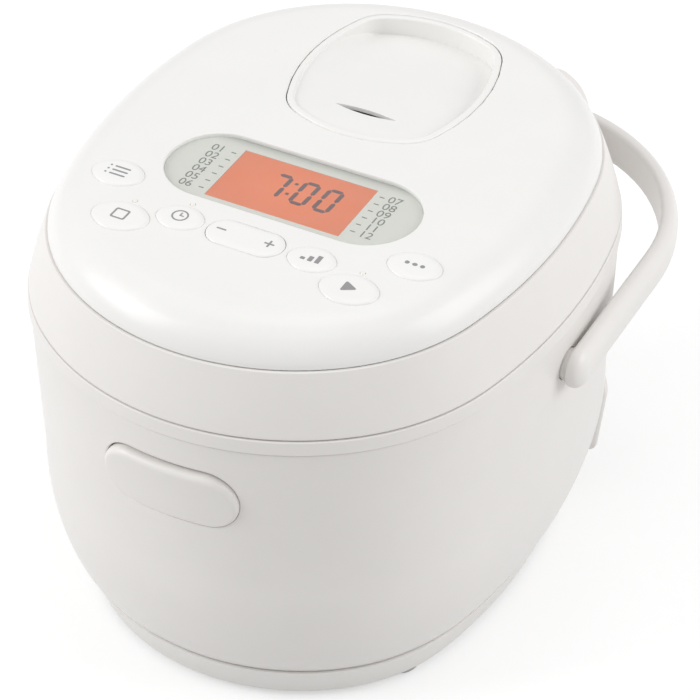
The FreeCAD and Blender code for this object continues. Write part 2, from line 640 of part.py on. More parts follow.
def main():
    write("body_shell", body_shell())
    write("base_cover", base_cover())
    write("feet", feet())
    write("base_screws", base_screws())
    write("shoulder_ring", shoulder_ring())
    write("pot_chamber", pot_chamber())
    write("heater_plate", heater_plate())
    write("heater_supports", heater_supports())
    write("inner_pot", inner_pot())
    write("sensor_cap", sensor_cap())
    write("sensor_spring", coil(V(0, POT_Y, 26.7), UP, 10.6, 0.6, 3.05, 5))
    socket, pins = inlet_parts()
    write("inlet_socket", socket)
    write("inlet_pins", pins)
    write("power_board", power_board())
    write("board_parts", board_parts())
    write("hinge_housing", hinge_housing())
    write("hinge_pin", hinge_pin())
    write("hinge_spring", coil(V(-8, HINGE_Y, HINGE_Z), XDIR, 3.2, 0.6, 1.75, 9))
    write("lid_ring", lid_ring())
    write("lid_top_panel", lid_top_panel())
    write("lid_underplate", lid_underplate())
    write("lid_screws", lid_screws())
    write("inner_lid", inner_lid())
    write("inner_lid_gasket", inner_lid_gasket())
    write("steam_gasket", steam_gasket())
    write("lid_catch", lid_catch())
    window, legend, panel = display_parts()
    write("display_window", window)
    write("legend_plate", legend)
    write("display_panel", panel)
    write("control_board", control_board())
    write("switches", switches())
    for name, (x, y, a, b) in KEYS.items():
        write(name, key(oval_loop, x, y, a, b, [0]))
    x, y, a, b = TIME_KEY
    write("time_rocker", key(stadium_loop, x, y, a, b, [-12, 12]))
    write("lamps", lamps())
    write("steam_cap", steam_cap())
    write("steam_cup", steam_cup())
    write("steam_seal", steam_seal())
    write("release_button", release_button())
    write("latch_hook", latch_hook())
    write("latch_pin", latch_pin())
    write("latch_spring", coil(V(-7, LATCH_Y, LATCH_Z), XDIR, 2.5, 0.45, 1.4, 10))
    write("handle", handle())
    write("handle_clips", handle_clips())


main()
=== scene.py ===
"""Looks of a small white rice cooker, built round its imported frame."""

import logging
import math
from dataclasses import dataclass
from enum import Enum
from functools import cached_property
from typing import Callable, Iterable, Sequence, Union

import bmesh
import bpy
import numpy as np
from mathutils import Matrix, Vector
from mathutils.geometry import delaunay_2d_cdt


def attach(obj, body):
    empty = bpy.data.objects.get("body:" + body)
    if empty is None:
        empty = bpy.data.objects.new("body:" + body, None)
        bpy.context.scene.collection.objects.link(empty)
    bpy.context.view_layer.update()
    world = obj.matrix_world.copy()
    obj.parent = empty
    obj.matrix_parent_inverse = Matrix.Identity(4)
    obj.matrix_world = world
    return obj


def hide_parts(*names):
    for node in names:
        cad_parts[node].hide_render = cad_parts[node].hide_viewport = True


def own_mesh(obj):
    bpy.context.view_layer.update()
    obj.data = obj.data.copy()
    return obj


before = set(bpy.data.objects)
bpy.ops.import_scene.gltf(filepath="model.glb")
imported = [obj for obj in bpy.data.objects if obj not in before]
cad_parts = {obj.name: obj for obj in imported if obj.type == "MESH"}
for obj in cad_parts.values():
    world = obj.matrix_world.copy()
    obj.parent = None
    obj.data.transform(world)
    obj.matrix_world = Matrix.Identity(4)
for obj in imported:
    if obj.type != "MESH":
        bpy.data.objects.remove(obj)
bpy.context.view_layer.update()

LOG = logging.getLogger("rice_cooker")
MM = 0.001
SHARP = math.radians(38.0)
BUMP_DEPTH = 0.0002
WHITE = (1.0, 1.0, 1.0, 1.0)
BLACK = (0.0, 0.0, 0.0, 1.0)
# Degrees on arcs and millimetres on straight runs between the points of an outline.
FINE = (6.0, 4.0)
PAD_STEPS = (6.0, 1.5)
BOW_STEPS = (9.0, 5.0)
# Least distance from a window in a wall to the wall's own points, beside it and above or below it.
SIDE_ROOM = 0.7
END_ROOM = 0.5

Point = tuple[float, float]
Loop = list[Point]
Row = list[int]
Colour = tuple[float, float, float, float]
Value = Union["Sock", float, Sequence[float]]


def srgb(red: int, green: int, blue: int) -> Colour:
    """Turn an 8-bit screen colour into a linear one.

    Args:
        red: Red from 0 to 255.
        green: Green from 0 to 255.
        blue: Blue from 0 to 255.

    Returns:
        The linear colour, opaque.
    """
    parts = [v / 255.0 for v in (red, green, blue)]
    line = [v / 12.92 if v <= 0.04045 else ((v + 0.055) / 1.055) ** 2.4 for v in parts]
    return (line[0], line[1], line[2], 1.0)


def shade(colour: Colour, factor: float) -> Colour:
    """A colour made darker or lighter by a factor."""
    return (colour[0] * factor, colour[1] * factor, colour[2] * factor, 1.0)


class Sock:
    """A node's output that Python expressions can work with."""

    def __init__(self, recipe: "Recipe", socket: bpy.types.NodeSocket) -> None:
        """Wrap a socket of a recipe's tree."""
        self.recipe = recipe
        self.socket = socket

    def math(self, operation: str, first: Value, second: Value = 0.0) -> "Sock":
        """Add a Math node on two values."""
        return self.recipe.node("Math", {"operation": operation}, {0: first, 1: second})

    def __add__(self, other: Value) -> "Sock":
        """Sum."""
        return self.math("ADD", self, other)

    __radd__ = __add__

    def __sub__(self, other: Value) -> "Sock":
        """Difference."""
        return self.math("SUBTRACT", self, other)

    def __rsub__(self, other: Value) -> "Sock":
        """Difference from a plain number."""
        return self.math("SUBTRACT", other, self)

    def __mul__(self, other: Value) -> "Sock":
        """Product."""
        return self.math("MULTIPLY", self, other)

    __rmul__ = __mul__

    def __gt__(self, other: Value) -> "Sock":
        """1 where this is the greater, else 0."""
        return self.math("GREATER_THAN", self, other)

    def fraction(self) -> "Sock":
        """Part after the point."""
        return self.math("FRACT", self)


class Recipe:
    """A material's node tree while it is being written."""

    def __init__(self, name: str) -> None:
        """Start an empty material.

        Args:
            name: The material's name.
        """
        self.material = bpy.data.materials.new(name)
        self.material.use_nodes = True
        self.tree = self.material.node_tree
        self.tree.nodes.clear()

    def node(self, kind: str, settings: dict | None = None, sockets: dict | None = None,
             output: int | str = 0) -> Sock:
        """Add a node.

        Args:
            kind: The node's type without its common prefix.
            settings: Properties to set first; "stops" holds a ramp's places and colours.
            sockets: Values or links of its inputs.
            output: The output to hand back.

        Returns:
            The chosen output; for a node without outputs, its input.
        """
        made = self.tree.nodes.new("ShaderNode" + kind)
        for key, value in (settings or {}).items():
            if key == "stops":
                self.set_stops(made.color_ramp.elements, value)
            else:
                setattr(made, key, value)
        for key, value in (sockets or {}).items():
            if isinstance(value, Sock):
                self.tree.links.new(value.socket, made.inputs[key])
            else:
                made.inputs[key].default_value = value
        return Sock(self, (made.outputs or made.inputs)[output])

    @staticmethod
    def set_stops(elements: bpy.types.ColorRampElements, stops: Sequence[tuple[float, Colour]]) -> None:
        """Give a ramp its stops.

        Args:
            elements: The ramp's elements.
            stops: Places and colours in order.
        """
        while len(elements) < len(stops):
            elements.new(1.0)
        for element, (place, colour) in zip(elements, stops):
            element.position = place
            element.color = colour

    def place(self) -> Sock:
        """Position on the object, in metres."""
        return self.node("TexCoord", output="Object")

    def noise(self, vector: Sock, scale: float, detail: float = 2.0) -> Sock:
        """Cloudy value from 0 to 1."""
        return self.node("TexNoise", {}, {"Vector": vector, "Scale": scale, "Detail": detail})

    def mix(self, factor: Value, first: Value, second: Value) -> Sock:
        """Colour between two colours."""
        return self.node("Mix", {"data_type": "RGBA"}, {0: factor, 6: first, 7: second}, 2)

    def stretch(self, vector: Sock, factors: Sequence[float]) -> Sock:
        """Position with its axes scaled."""
        return self.node("VectorMath", {"operation": "MULTIPLY"}, {0: vector, 1: factors})

    def bump(self, height: Sock, strength: float, distance: float) -> Sock:
        """Normal that follows a height."""
        return self.node("Bump", {}, {"Strength": strength, "Distance": distance, "Height": height})

    def surface(self, sockets: dict) -> None:
        """Finish with one principled shader."""
        shader = self.node("BsdfPrincipled", {}, sockets)
        self.node("OutputMaterial", {}, {"Surface": shader})


class Grain(Enum):
    """How a moulded face breaks up the light: bump strength and size of the grain."""

    POLISHED = (0.008, 900.0)
    SATIN = (0.06, 1500.0)
    SOFT = (0.14, 2200.0)


class Lay(Enum):
    """Direction of the fine lines on metal."""

    TURNED = "turned"
    DRAWN = "drawn"
    PLATED = "plated"


@dataclass(frozen=True)
class Finish:
    """A finish that takes one of the record's slots."""

    slot: str
    tint: Colour

    def material(self) -> bpy.types.Material:
        """Find the finish's material, or make it at its first use.

        Returns:
            The material.
        """
        made = bpy.data.materials.get("finish_" + self.slot)
        if made is None:
            recipe = Recipe("finish_" + self.slot)
            self.write(recipe)
            made = recipe.material
        return made

    def write(self, recipe: Recipe) -> None:
        """Write the finish's nodes."""
        raise NotImplementedError


@dataclass(frozen=True)
class MouldedPlastic(Finish):
    """Plastic with faint clouding, uneven gloss and a fine grain."""

    roughness: float = 0.36
    grain: Grain = Grain.SATIN

    def write(self, recipe: Recipe) -> None:
        """Write the finish's nodes.

        Args:
            recipe: The tree to write into.
        """
        strength, scale = self.grain.value
        place = recipe.place()
        cloud = recipe.noise(place, 38.0, 3.0)
        grain = recipe.noise(place, scale)
        wear = recipe.noise(place, 130.0, 4.0)
        recipe.surface({
            "Base Color": recipe.mix(cloud, shade(self.tint, 0.972), shade(self.tint, 1.012)),
            "Roughness": self.roughness - 0.06 + 0.08 * wear + 0.04 * grain,
            "Normal": recipe.bump(grain, strength, BUMP_DEPTH),
        })


@dataclass(frozen=True)
class LinedMetal(Finish):
    """Metal with fine lines along its making direction."""

    roughness: float = 0.3
    lay: Lay = Lay.DRAWN
    to_axis: tuple[float, float, float] = (0.0, 0.014, 0.0)

    def write(self, recipe: Recipe) -> None:
        """Write the finish's nodes.

        Args:
            recipe: The tree to write into.
        """
        place = recipe.place()
        if self.lay is Lay.TURNED:
            spread = recipe.node("VectorMath", {"operation": "ADD"}, {0: place, 1: self.to_axis})
            flat = recipe.stretch(spread, (1.0, 1.0, 0.0))
            radius = recipe.node("VectorMath", {"operation": "LENGTH"}, {0: flat}, 1)
            lines = recipe.node("TexNoise", {"noise_dimensions": "1D"}, {"W": radius * 2600.0, "Scale": 1.0})
        elif self.lay is Lay.DRAWN:
            lines = recipe.noise(recipe.stretch(place, (18.0, 18.0, 1.4)), 60.0, 3.0)
        else:
            lines = recipe.noise(place, 700.0, 3.0)
        cloud = recipe.noise(place, 45.0, 3.0)
        recipe.surface({
            "Base Color": recipe.mix(cloud, shade(self.tint, 0.86), self.tint),
            "Metallic": 1.0,
            "Roughness": self.roughness - 0.08 + 0.16 * lines,
            "Normal": recipe.bump(lines, 0.12, BUMP_DEPTH),
        })


@dataclass(frozen=True)
class SpeckledCoating(Finish):
    """Dark non-stick coating with pale flecks."""

    fleck: Colour = (0.35, 0.33, 0.30, 1.0)

    def write(self, recipe: Recipe) -> None:
        """Write the finish's nodes.

        Args:
            recipe: The tree to write into.
        """
        place = recipe.place()
        dots = recipe.noise(place, 1700.0, 1.0)
        mask = recipe.node("ValToRGB", {"stops": [(0.66, BLACK), (0.71, WHITE)]}, {"Fac": dots})
        recipe.surface({
            "Base Color": recipe.mix(mask, self.tint, self.fleck),
            "Roughness": 0.3 + 0.12 * recipe.noise(place, 240.0),
            "Normal": recipe.bump(dots, 0.1, BUMP_DEPTH),
        })


@dataclass(frozen=True)
class PrintedInk(Finish):
    """Screen-printed ink with slightly uneven cover."""

    def write(self, recipe: Recipe) -> None:
        """Write the finish's nodes.

        Args:
            recipe: The tree to write into.
        """
        place = recipe.place()
        cover = recipe.noise(place, 1400.0, 3.0)
        recipe.surface({
            "Base Color": recipe.mix(cover, shade(self.tint, 0.9), shade(self.tint, 1.1)),
            "Roughness": 0.5 + 0.1 * cover,
        })


@dataclass(frozen=True)
class ShadowPaintedPlate(Finish):
    """Printed plate with a painted shadow that darkens it towards its rear edge, under the panel's lip."""

    rear: float = -0.0195
    shadow_fade: float = 0.0065

    def write(self, recipe: Recipe) -> None:
        """Write the finish's nodes.

        Args:
            recipe: The tree to write into.
        """
        place = recipe.place()
        split = recipe.node("SeparateXYZ", {}, {0: place}, "Y")
        # Painted shadow: a mask rising to 1 at the rear edge, where the panel's lip would shade the plate
        near = recipe.node("MapRange", {}, {0: split, 1: self.rear - self.shadow_fade, 2: self.rear, 3: 0.0, 4: 1.0})
        speckle = recipe.noise(place, 900.0, 3.0)
        plain = recipe.mix(speckle, shade(self.tint, 0.97), self.tint)
        recipe.surface({
            # The painted shadow blends the plate's colour towards half its tint at the rear edge
            "Base Color": recipe.mix(near * near, plain, shade(self.tint, 0.5)),
            "Roughness": 0.45 + 0.1 * speckle,
        })


@dataclass(frozen=True)
class LitDisplay(Finish):
    """Lit display: brighter in the middle, with a fine grid of picture cells."""

    middle: Point = (0.0, -0.0435)
    cells: float = 1900.0
    glow: float = 0.34
    cell_edge: float = 0.86

    def write(self, recipe: Recipe) -> None:
        """Write the finish's nodes.

        Args:
            recipe: The tree to write into.
        """
        place = recipe.place()
        spread = recipe.node("VectorMath", {"operation": "SUBTRACT"}, {0: place, 1: (*self.middle, 0.0)})
        reach = recipe.node("VectorMath", {"operation": "LENGTH"},
                            {0: recipe.stretch(spread, (28.0, 42.0, 0.0))}, 1)
        lit = recipe.mix(reach, shade(self.tint, 1.04), shade(self.tint, 0.92))
        split = recipe.node("SeparateXYZ", {}, {0: place})
        across = split * self.cells
        along = Sock(recipe, split.socket.node.outputs[1]) * self.cells
        line = (across.fraction() > self.cell_edge) + (along.fraction() > self.cell_edge)
        colour = recipe.mix(line * 0.3, lit, shade(self.tint, 0.9))
        recipe.surface({
            "Base Color": recipe.mix(0.55, colour, BLACK),
            "Roughness": 0.3 + 0.1 * recipe.noise(place, 400.0),
            "Emission Color": colour,
            "Emission Strength": self.glow,
        })


@dataclass(frozen=True)
class ClearCover(Finish):
    """Thin clear cover that hides little behind it."""

    haze: float = 0.07
    roughness: float = 0.1

    def write(self, recipe: Recipe) -> None:
        """Write the finish's nodes.

        Args:
            recipe: The tree to write into.
        """
        smear = recipe.noise(recipe.place(), 90.0, 4.0)
        recipe.surface({
            "Base Color": self.tint,
            "Roughness": self.roughness - 0.02 + 0.05 * smear,
            "Alpha": self.haze - 0.02 + 0.04 * smear,
        })


@dataclass(frozen=True)
class SolderMask(Finish):
    """Circuit board with tracks under its lacquer."""

    def write(self, recipe: Recipe) -> None:
        """Write the finish's nodes.

        Args:
            recipe: The tree to write into.
        """
        place = recipe.place()
        edge = recipe.node("TexVoronoi", {"feature": "DISTANCE_TO_EDGE"}, {"Vector": place, "Scale": 160.0})
        track = edge > 0.09
        recipe.surface({
            "Base Color": recipe.mix(track, shade(self.tint, 1.9), self.tint),
            "Roughness": 0.32 + 0.1 * recipe.noise(place, 500.0),
            "Normal": recipe.bump(track, 0.15, 0.0001),
        })


class Palette:
    """The object's finishes by slot."""

    GLOSS = MouldedPlastic("white_gloss", srgb(236, 233, 230), 0.34, Grain.SATIN)
    PANEL = MouldedPlastic("white_panel", srgb(241, 240, 238), 0.3, Grain.POLISHED)
    MATTE = MouldedPlastic("white_matte", srgb(244, 242, 239), 0.5, Grain.SOFT)
    KEY = MouldedPlastic("key_white", srgb(243, 242, 241), 0.32, Grain.POLISHED)
    RUBBER = MouldedPlastic("foot_rubber", srgb(176, 175, 173), 0.72, Grain.SOFT)
    SILICONE = MouldedPlastic("silicone", srgb(205, 203, 199), 0.55, Grain.SOFT)
    SCREW = LinedMetal("screw_steel", srgb(200, 200, 202), 0.34, Lay.PLATED)
    SPRING = LinedMetal("spring_steel", srgb(190, 190, 192), 0.28, Lay.PLATED)
    CHAMBER = LinedMetal("chamber_aluminium", srgb(214, 214, 214), 0.34, Lay.DRAWN)
    HEATER = LinedMetal("heater_aluminium", srgb(206, 206, 206), 0.4, Lay.TURNED)
    POT = SpeckledCoating("pot_coating", srgb(58, 56, 55))
    INNER_LID = LinedMetal("inner_lid_aluminium", srgb(216, 216, 215), 0.32, Lay.TURNED)
    INLET = MouldedPlastic("inlet_black", srgb(40, 40, 41), 0.48, Grain.SOFT)
    BRASS = LinedMetal("pin_brass", srgb(222, 200, 152), 0.25, Lay.PLATED)
    BOARD = SolderMask("board_green", srgb(40, 92, 58))
    COMPONENT = MouldedPlastic("component_dark", srgb(58, 58, 60), 0.45, Grain.SOFT)
    GLASS = ClearCover("display_glass", (0.9, 0.91, 0.9, 1.0))
    LEGEND = ShadowPaintedPlate("legend_grey", srgb(212, 214, 206))
    DISPLAY = LitDisplay("display_orange", srgb(252, 132, 76))
    LAMP = MouldedPlastic("lamp_clear", srgb(242, 240, 232), 0.2, Grain.POLISHED)
    CUP = MouldedPlastic("cup_clear", srgb(228, 228, 224), 0.3, Grain.POLISHED)
    INK = PrintedInk("key_ink", srgb(150, 150, 150))
    DIGIT = PrintedInk("digit_ink", srgb(92, 62, 66))
    PRINT = PrintedInk("print_ink", srgb(112, 113, 110))


def circle_through(a: Point, b: Point, c: Point) -> tuple[float, float, float]:
    """Find the circle through three points.

    Args:
        a: First point.
        b: Second point.
        c: Third point.

    Returns:
        The centre's two coordinates and the radius.
    """
    ab, ac = (b[0] - a[0], b[1] - a[1]), (c[0] - a[0], c[1] - a[1])
    cross = 2.0 * (ab[0] * ac[1] - ab[1] * ac[0])
    sb, sc = ab[0] ** 2 + ab[1] ** 2, ac[0] ** 2 + ac[1] ** 2
    ux = (ac[1] * sb - ab[1] * sc) / cross
    uy = (ab[0] * sc - ac[0] * sb) / cross
    return a[0] + ux, a[1] + uy, math.hypot(ux, uy)


def arc_points(a: Point, b: Point, c: Point, steps: int) -> Loop:
    """Sample the arc from a through b to c.

    Args:
        a: First end.
        b: A point between.
        c: Last end.
        steps: Segments along the arc.

    Returns:
        Points in order, both ends included.
    """
    cx, cy, radius = circle_through(a, b, c)
    first, mid, last = (math.atan2(p[1] - cy, p[0] - cx) for p in (a, b, c))
    sweep = (mid - first + math.pi) % (2 * math.pi) - math.pi
    sweep += (last - mid + math.pi) % (2 * math.pi) - math.pi
    turns = [first + sweep * k / steps for k in range(steps + 1)]
    return [(cx + radius * math.cos(t), cy + radius * math.sin(t)) for t in turns]


def rounded(corners: Sequence[tuple[float, float, float]], steps: int = 4) -> Loop:
    """Closed profile with its corners turned to arcs.

    Args:
        corners: Corner places, each with the radius of its arc.
        steps: Segments in each arc.

    Returns:
        The profile's points in order.
    """
    most = 0.48
    loop: Loop = []
    for i, (u, v, radius) in enumerate(corners):
        if radius <= 0.0:
            loop.append((u, v))
            continue
        here = Vector((u, v))
        back = Vector(corners[i - 1][:2]) - here
        ahead = Vector(corners[(i + 1) % len(corners)][:2]) - here
        half = back.angle(ahead) / 2.0
        reach = min(radius / math.tan(half), most * back.length, most * ahead.length)
        radius = reach * math.tan(half)
        start, stop = here + back.normalized() * reach, here + ahead.normalized() * reach
        centre = here + (back.normalized() + ahead.normalized()).normalized() * (radius / math.sin(half))
        first, last = start - centre, stop - centre
        span = first.angle(last)
        for k in range(steps + 1):
            t = k / steps
            arm = (first * math.sin((1 - t) * span) + last * math.sin(t * span)) / math.sin(span)
            loop.append((centre.x + arm.x, centre.y + arm.y))
    return loop


@dataclass(frozen=True)
class ArcLoop:
    """Closed outline of arcs in order; straight runs join arcs that don't touch.

    Each arc is its centre, radius and the headings in degrees of its first and last normal.
    """

    arcs: tuple[tuple[float, float, float, float, float], ...]

    @staticmethod
    def on(arc: tuple[float, float, float, float, float], heading: float, grow: float) -> Point:
        """Point of an arc at a heading, moved outwards."""
        turn = math.radians(heading)
        return (arc[0] + (arc[2] + grow) * math.sin(turn), arc[1] - (arc[2] + grow) * math.cos(turn))

    def points(self, grow: float = 0.0, step: float = 8.0, run: float = 400.0) -> Loop:
        """Sample the outline.

        Args:
            grow: Distance to move it outwards.
            step: Degrees between points on arcs.
            run: Longest distance between points on straight runs.

        Returns:
            Points anticlockwise; their number doesn't depend on grow.
        """
        loop: Loop = []
        for i, arc in enumerate(self.arcs):
            after = self.arcs[(i + 1) % len(self.arcs)]
            count = max(1, round((arc[4] - arc[3]) / step))
            loop += [self.on(arc, arc[3] + (arc[4] - arc[3]) * k / count, grow) for k in range(count)]
            gap = math.dist(self.on(arc, arc[4], 0.0), self.on(after, after[3], 0.0))
            if gap > 1e-6:
                a, b = self.on(arc, arc[4], grow), self.on(after, after[3], grow)
                pieces = math.ceil(gap / run)
                loop += [(a[0] + (b[0] - a[0]) * k / pieces, a[1] + (b[1] - a[1]) * k / pieces)
                         for k in range(pieces)]
        return loop


def circle(x: float, y: float, radius: float) -> ArcLoop:
    """Round outline."""
    return ArcLoop(((x, y, radius, 0.0, 360.0),))


def stadium(x: float, y: float, a: float, b: float) -> ArcLoop:
    """Outline with round ends, of half-length a and half-width b."""
    return ArcLoop(((x + a - b, y, b, 0.0, 180.0), (x - a + b, y, b, 180.0, 360.0)))


def soft_box(x0: float, x1: float, y0: float, y1: float, radius: float) -> ArcLoop:
    """Rectangle with round corners.

    Args:
        x0: Left side.
        x1: Right side.
        y0: Near side.
        y1: Far side.
        radius: Radius of the corners.

    Returns:
        The outline.
    """
    r = radius
    return ArcLoop(((x1 - r, y0 + r, r, 0.0, 90.0), (x1 - r, y1 - r, r, 90.0, 180.0),
                    (x0 + r, y1 - r, r, 180.0, 270.0), (x0 + r, y0 + r, r, 270.0, 360.0)))


def oval(x: float, y: float, a: float, b: float) -> ArcLoop:
    """Oval of two end arcs and two side arcs.

    Args:
        x: Middle, across.
        y: Middle, along.
        a: Longer half-axis, across.
        b: Shorter half-axis, along.

    Returns:
        The outline.
    """
    end = 0.72 * b
    side = ((a - end) ** 2 + b ** 2 - end ** 2) / (2 * (b - end))
    lean = math.degrees(math.atan2(a - end, side - b))
    return ArcLoop(((x, y - b + side, side, -lean, lean), (x + a - end, y, end, lean, 180 - lean),
                    (x, y + b - side, side, 180 - lean, 180 + lean),
                    (x - a + end, y, end, 180 + lean, 360 - lean)))


@dataclass(frozen=True)
class EggOutline:
    """Plan outline of the cooker: tangent arcs of its right half, front to back."""

    front: float = -151.3
    radii: tuple[float, ...] = (115.6, 100.2, 260.4, 102.2)
    turns: tuple[float, ...] = (38.32, 36.97, 25.25, 43.67)
    spacing: float = 3.0

    @cached_property
    def sectors(self) -> list[tuple[float, float, float, float, float]]:
        """Work out the arcs of the right half.

        Returns:
            Centre, radius, start and turn in radians of each arc.
        """
        ends = [0.0]
        for turn in self.turns:
            ends.append(ends[-1] + math.radians(turn))
        sines = [math.sin(t) for t in ends]
        closing = sum(r * (sines[i + 1] - sines[i]) for i, r in enumerate(self.radii)) / sines[-1]
        radii = list(self.radii) + [closing]
        ends.append(math.pi)
        x, y = 0.0, self.front + radii[0]
        made = []
        for i, r in enumerate(radii):
            if i:
                x += math.sin(ends[i]) * (radii[i - 1] - r)
                y -= math.cos(ends[i]) * (radii[i - 1] - r)
            made.append((x, y, r, ends[i], ends[i + 1] - ends[i]))
        return made

    @cached_property
    def columns(self) -> list[float]:
        """Space out places round the outline.

        Returns:
            Lengths from the front centre, left side negative.
        """
        right = [0.0]
        for _, _, radius, _, turn in self.sectors:
            count = math.ceil(radius * turn / self.spacing)
            start = right[-1]
            right += [start + radius * turn * (k + 1) / count for k in range(count)]
        return [-u for u in reversed(right[1:])] + right[:-1]

    def length_to(self, heading: float) -> float:
        """Measure the outline from the front to a heading.

        Args:
            heading: Heading of the normal in degrees.

        Returns:
            The length.
        """
        goal, total = math.radians(heading), 0.0
        for _, _, radius, start, turn in self.sectors:
            total += radius * min(max(goal - start, 0.0), turn)
        return total

    def at(self, along: float, inset: float, z: float) -> Vector:
        """Find a point on the drawn-in outline.

        Args:
            along: Length round the outline from the front.
            inset: Distance by which it is drawn in.
            z: Height of the point.

        Returns:
            The point.
        """
        side, left = math.copysign(1.0, along), abs(along)
        for x, y, radius, start, turn in self.sectors:
            if left <= radius * turn + 1e-9:
                break
            left -= radius * turn
        heading = start + min(left / radius, turn)
        reach = radius - inset
        return Vector((side * (x + reach * math.sin(heading)), y - reach * math.cos(heading), z))

    def ring(self, inset: float, z: float) -> list[Vector]:
        """Whole outline at an inset and height."""
        return [self.at(u, inset, z) for u in self.columns]

    def inset_of(self, px: float, py: float) -> float:
        """How far a point near the rim lies inside the outline.

        Args:
            px: The point's place across.
            py: The point's place along.

        Returns:
            The inset there.
        """
        for x, y, radius, start, turn in self.sectors:
            dx, dy = abs(px) - x, py - y
            if math.atan2(dx, -dy) % (2 * math.pi) <= start + turn:
                break
        return radius - math.hypot(dx, dy)


EGG = EggOutline()


def inside(points: np.ndarray, loop: Loop) -> np.ndarray:
    """Find which points lie inside a loop.

    Args:
        points: Places in the plane.
        loop: Closed outline.

    Returns:
        True for each point inside.
    """
    found = np.zeros(len(points), bool)
    px, py = points[:, 0], points[:, 1]
    for (x0, y0), (x1, y1) in zip(loop, loop[1:] + loop[:1]):
        if y0 != y1:
            crosses = (y0 > py) != (y1 > py)
            found ^= crosses & (px < (x1 - x0) * (py - y0) / (y1 - y0) + x0)
    return found


class Form:
    """A mesh in the making, in millimetres, from rows of points."""

    def __init__(self) -> None:
        """Start empty."""
        self.points: list[Vector] = []
        self.faces: list[tuple[int, ...]] = []

    def row(self, points: Iterable[Sequence[float]]) -> Row:
        """Add points.

        Args:
            points: Places in millimetres.

        Returns:
            The points' numbers.
        """
        first = len(self.points)
        self.points += [Vector(p) for p in points]
        return list(range(first, len(self.points)))

    def band(self, low: Row, high: Row) -> None:
        """Join two closed rows of equal length by quads.

        Args:
            low: First row.
            high: Second row.
        """
        for i, start in enumerate(low):
            j = (i + 1) % len(low)
            self.faces.append((start, low[j], high[j], high[i]))

    def bands(self, rows: Sequence[Row]) -> None:
        """Join each row to the next."""
        for low, high in zip(rows, rows[1:]):
            self.band(low, high)

    def fan(self, row: Row, tip: Sequence[float]) -> None:
        """Close a row with triangles to one point.

        Args:
            row: The row to close.
            tip: Place of the point.
        """
        top = self.row([tip])[0]
        for i, a in enumerate(row):
            self.faces.append((a, row[(i + 1) % len(row)], top))

    def fill(self, outer: tuple[Row, Loop], holes: Sequence[tuple[Row, Loop]] = (),
             loose: tuple[Row, Loop] = ((), ())) -> None:
        """Fill the space between loops with triangles.

        Args:
            outer: Point numbers of the outer loop and their places in the plane.
            holes: The same for each hole.
            loose: The same for points inside that no edge joins yet.
        """
        rows, flat, edges = [], [], []
        for row, loop in [outer, *holes]:
            base = len(rows)
            edges += [(base + i, base + (i + 1) % len(row)) for i in range(len(row))]
            rows += list(row)
            flat += list(loop)
        rows += list(loose[0])
        flat += list(loose[1])
        made = delaunay_2d_cdt([Vector(p) for p in flat], edges, [], 0, 1e-7)
        spots, triangles, origins = made[0], made[2], made[3]
        middles = np.array([[sum(spots[i][k] for i in t) / 3.0 for k in (0, 1)] for t in triangles])
        keep = inside(middles, list(outer[1]))
        for _, loop in holes:
            keep &= ~inside(middles, list(loop))
        for triangle, wanted in zip(triangles, keep):
            if wanted:
                self.faces.append(tuple(rows[origins[i][0]] for i in triangle))

    def absorb(self, mesh: bpy.types.Mesh, move: Callable[[Vector], Vector]) -> None:
        """Take in a finished mesh, with each point moved."""
        row = self.row(move(v.co) for v in mesh.vertices)
        self.faces += [tuple(row[i] for i in p.vertices) for p in mesh.polygons]

    def build(self, name: str, body: str, finish: Finish, *nodes: str, slot: str = "") -> bpy.types.Object:
        """Make the piece.

        Args:
            name: The piece's name.
            body: The body that it rides on.
            finish: Its finish.
            nodes: The frame's nodes that it stands for.
            slot: The record's slot, where it isn't the finish's own; not used.

        Returns:
            The new object.
        """
        mesh = bpy.data.meshes.new(name)
        mesh.from_pydata([p * MM for p in self.points], [], self.faces)
        work = bmesh.new()
        work.from_mesh(mesh)
        bmesh.ops.remove_doubles(work, verts=work.verts, dist=1e-6)
        bmesh.ops.recalc_face_normals(work, faces=work.faces)
        work.to_mesh(mesh)
        work.free()
        mesh.shade_smooth()
        mesh.set_sharp_from_angle(angle=SHARP)
        piece = bpy.data.objects.new(name, mesh)
        bpy.context.scene.collection.objects.link(piece)
        mesh.materials.append(finish.material())
        weigh = piece.modifiers.new("flat_faces", "WEIGHTED_NORMAL")
        weigh.keep_sharp = True
        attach(piece, body)
        if nodes:
            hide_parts(*nodes)
        LOG.info("%s: %d points on %s", name, len(mesh.vertices), body)
        return piece


def sweep(form: Form, profile: Loop) -> None:
    """Carry a closed profile of (inset, height) round the outline."""
    rows = [form.row(EGG.ring(inset, z)) for inset, z in profile]
    form.bands(rows + rows[:1])


def quarter(steps: int) -> list[tuple[float, float]]:
    """Cosine and sine over a quarter turn."""
    turns = [math.pi / 2 * k / steps for k in range(steps + 1)]
    return [(math.cos(t), math.sin(t)) for t in turns]


def dress(finish: Finish, *nodes: str) -> None:
    """Give carried-over nodes their finish.

    Args:
        finish: The finish.
        nodes: Names of the nodes.
    """
    for node in nodes:
        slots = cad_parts[node].data.materials
        slots.clear()
        slots.append(finish.material())
        LOG.info("%s: carried over with %s", node, finish.slot)


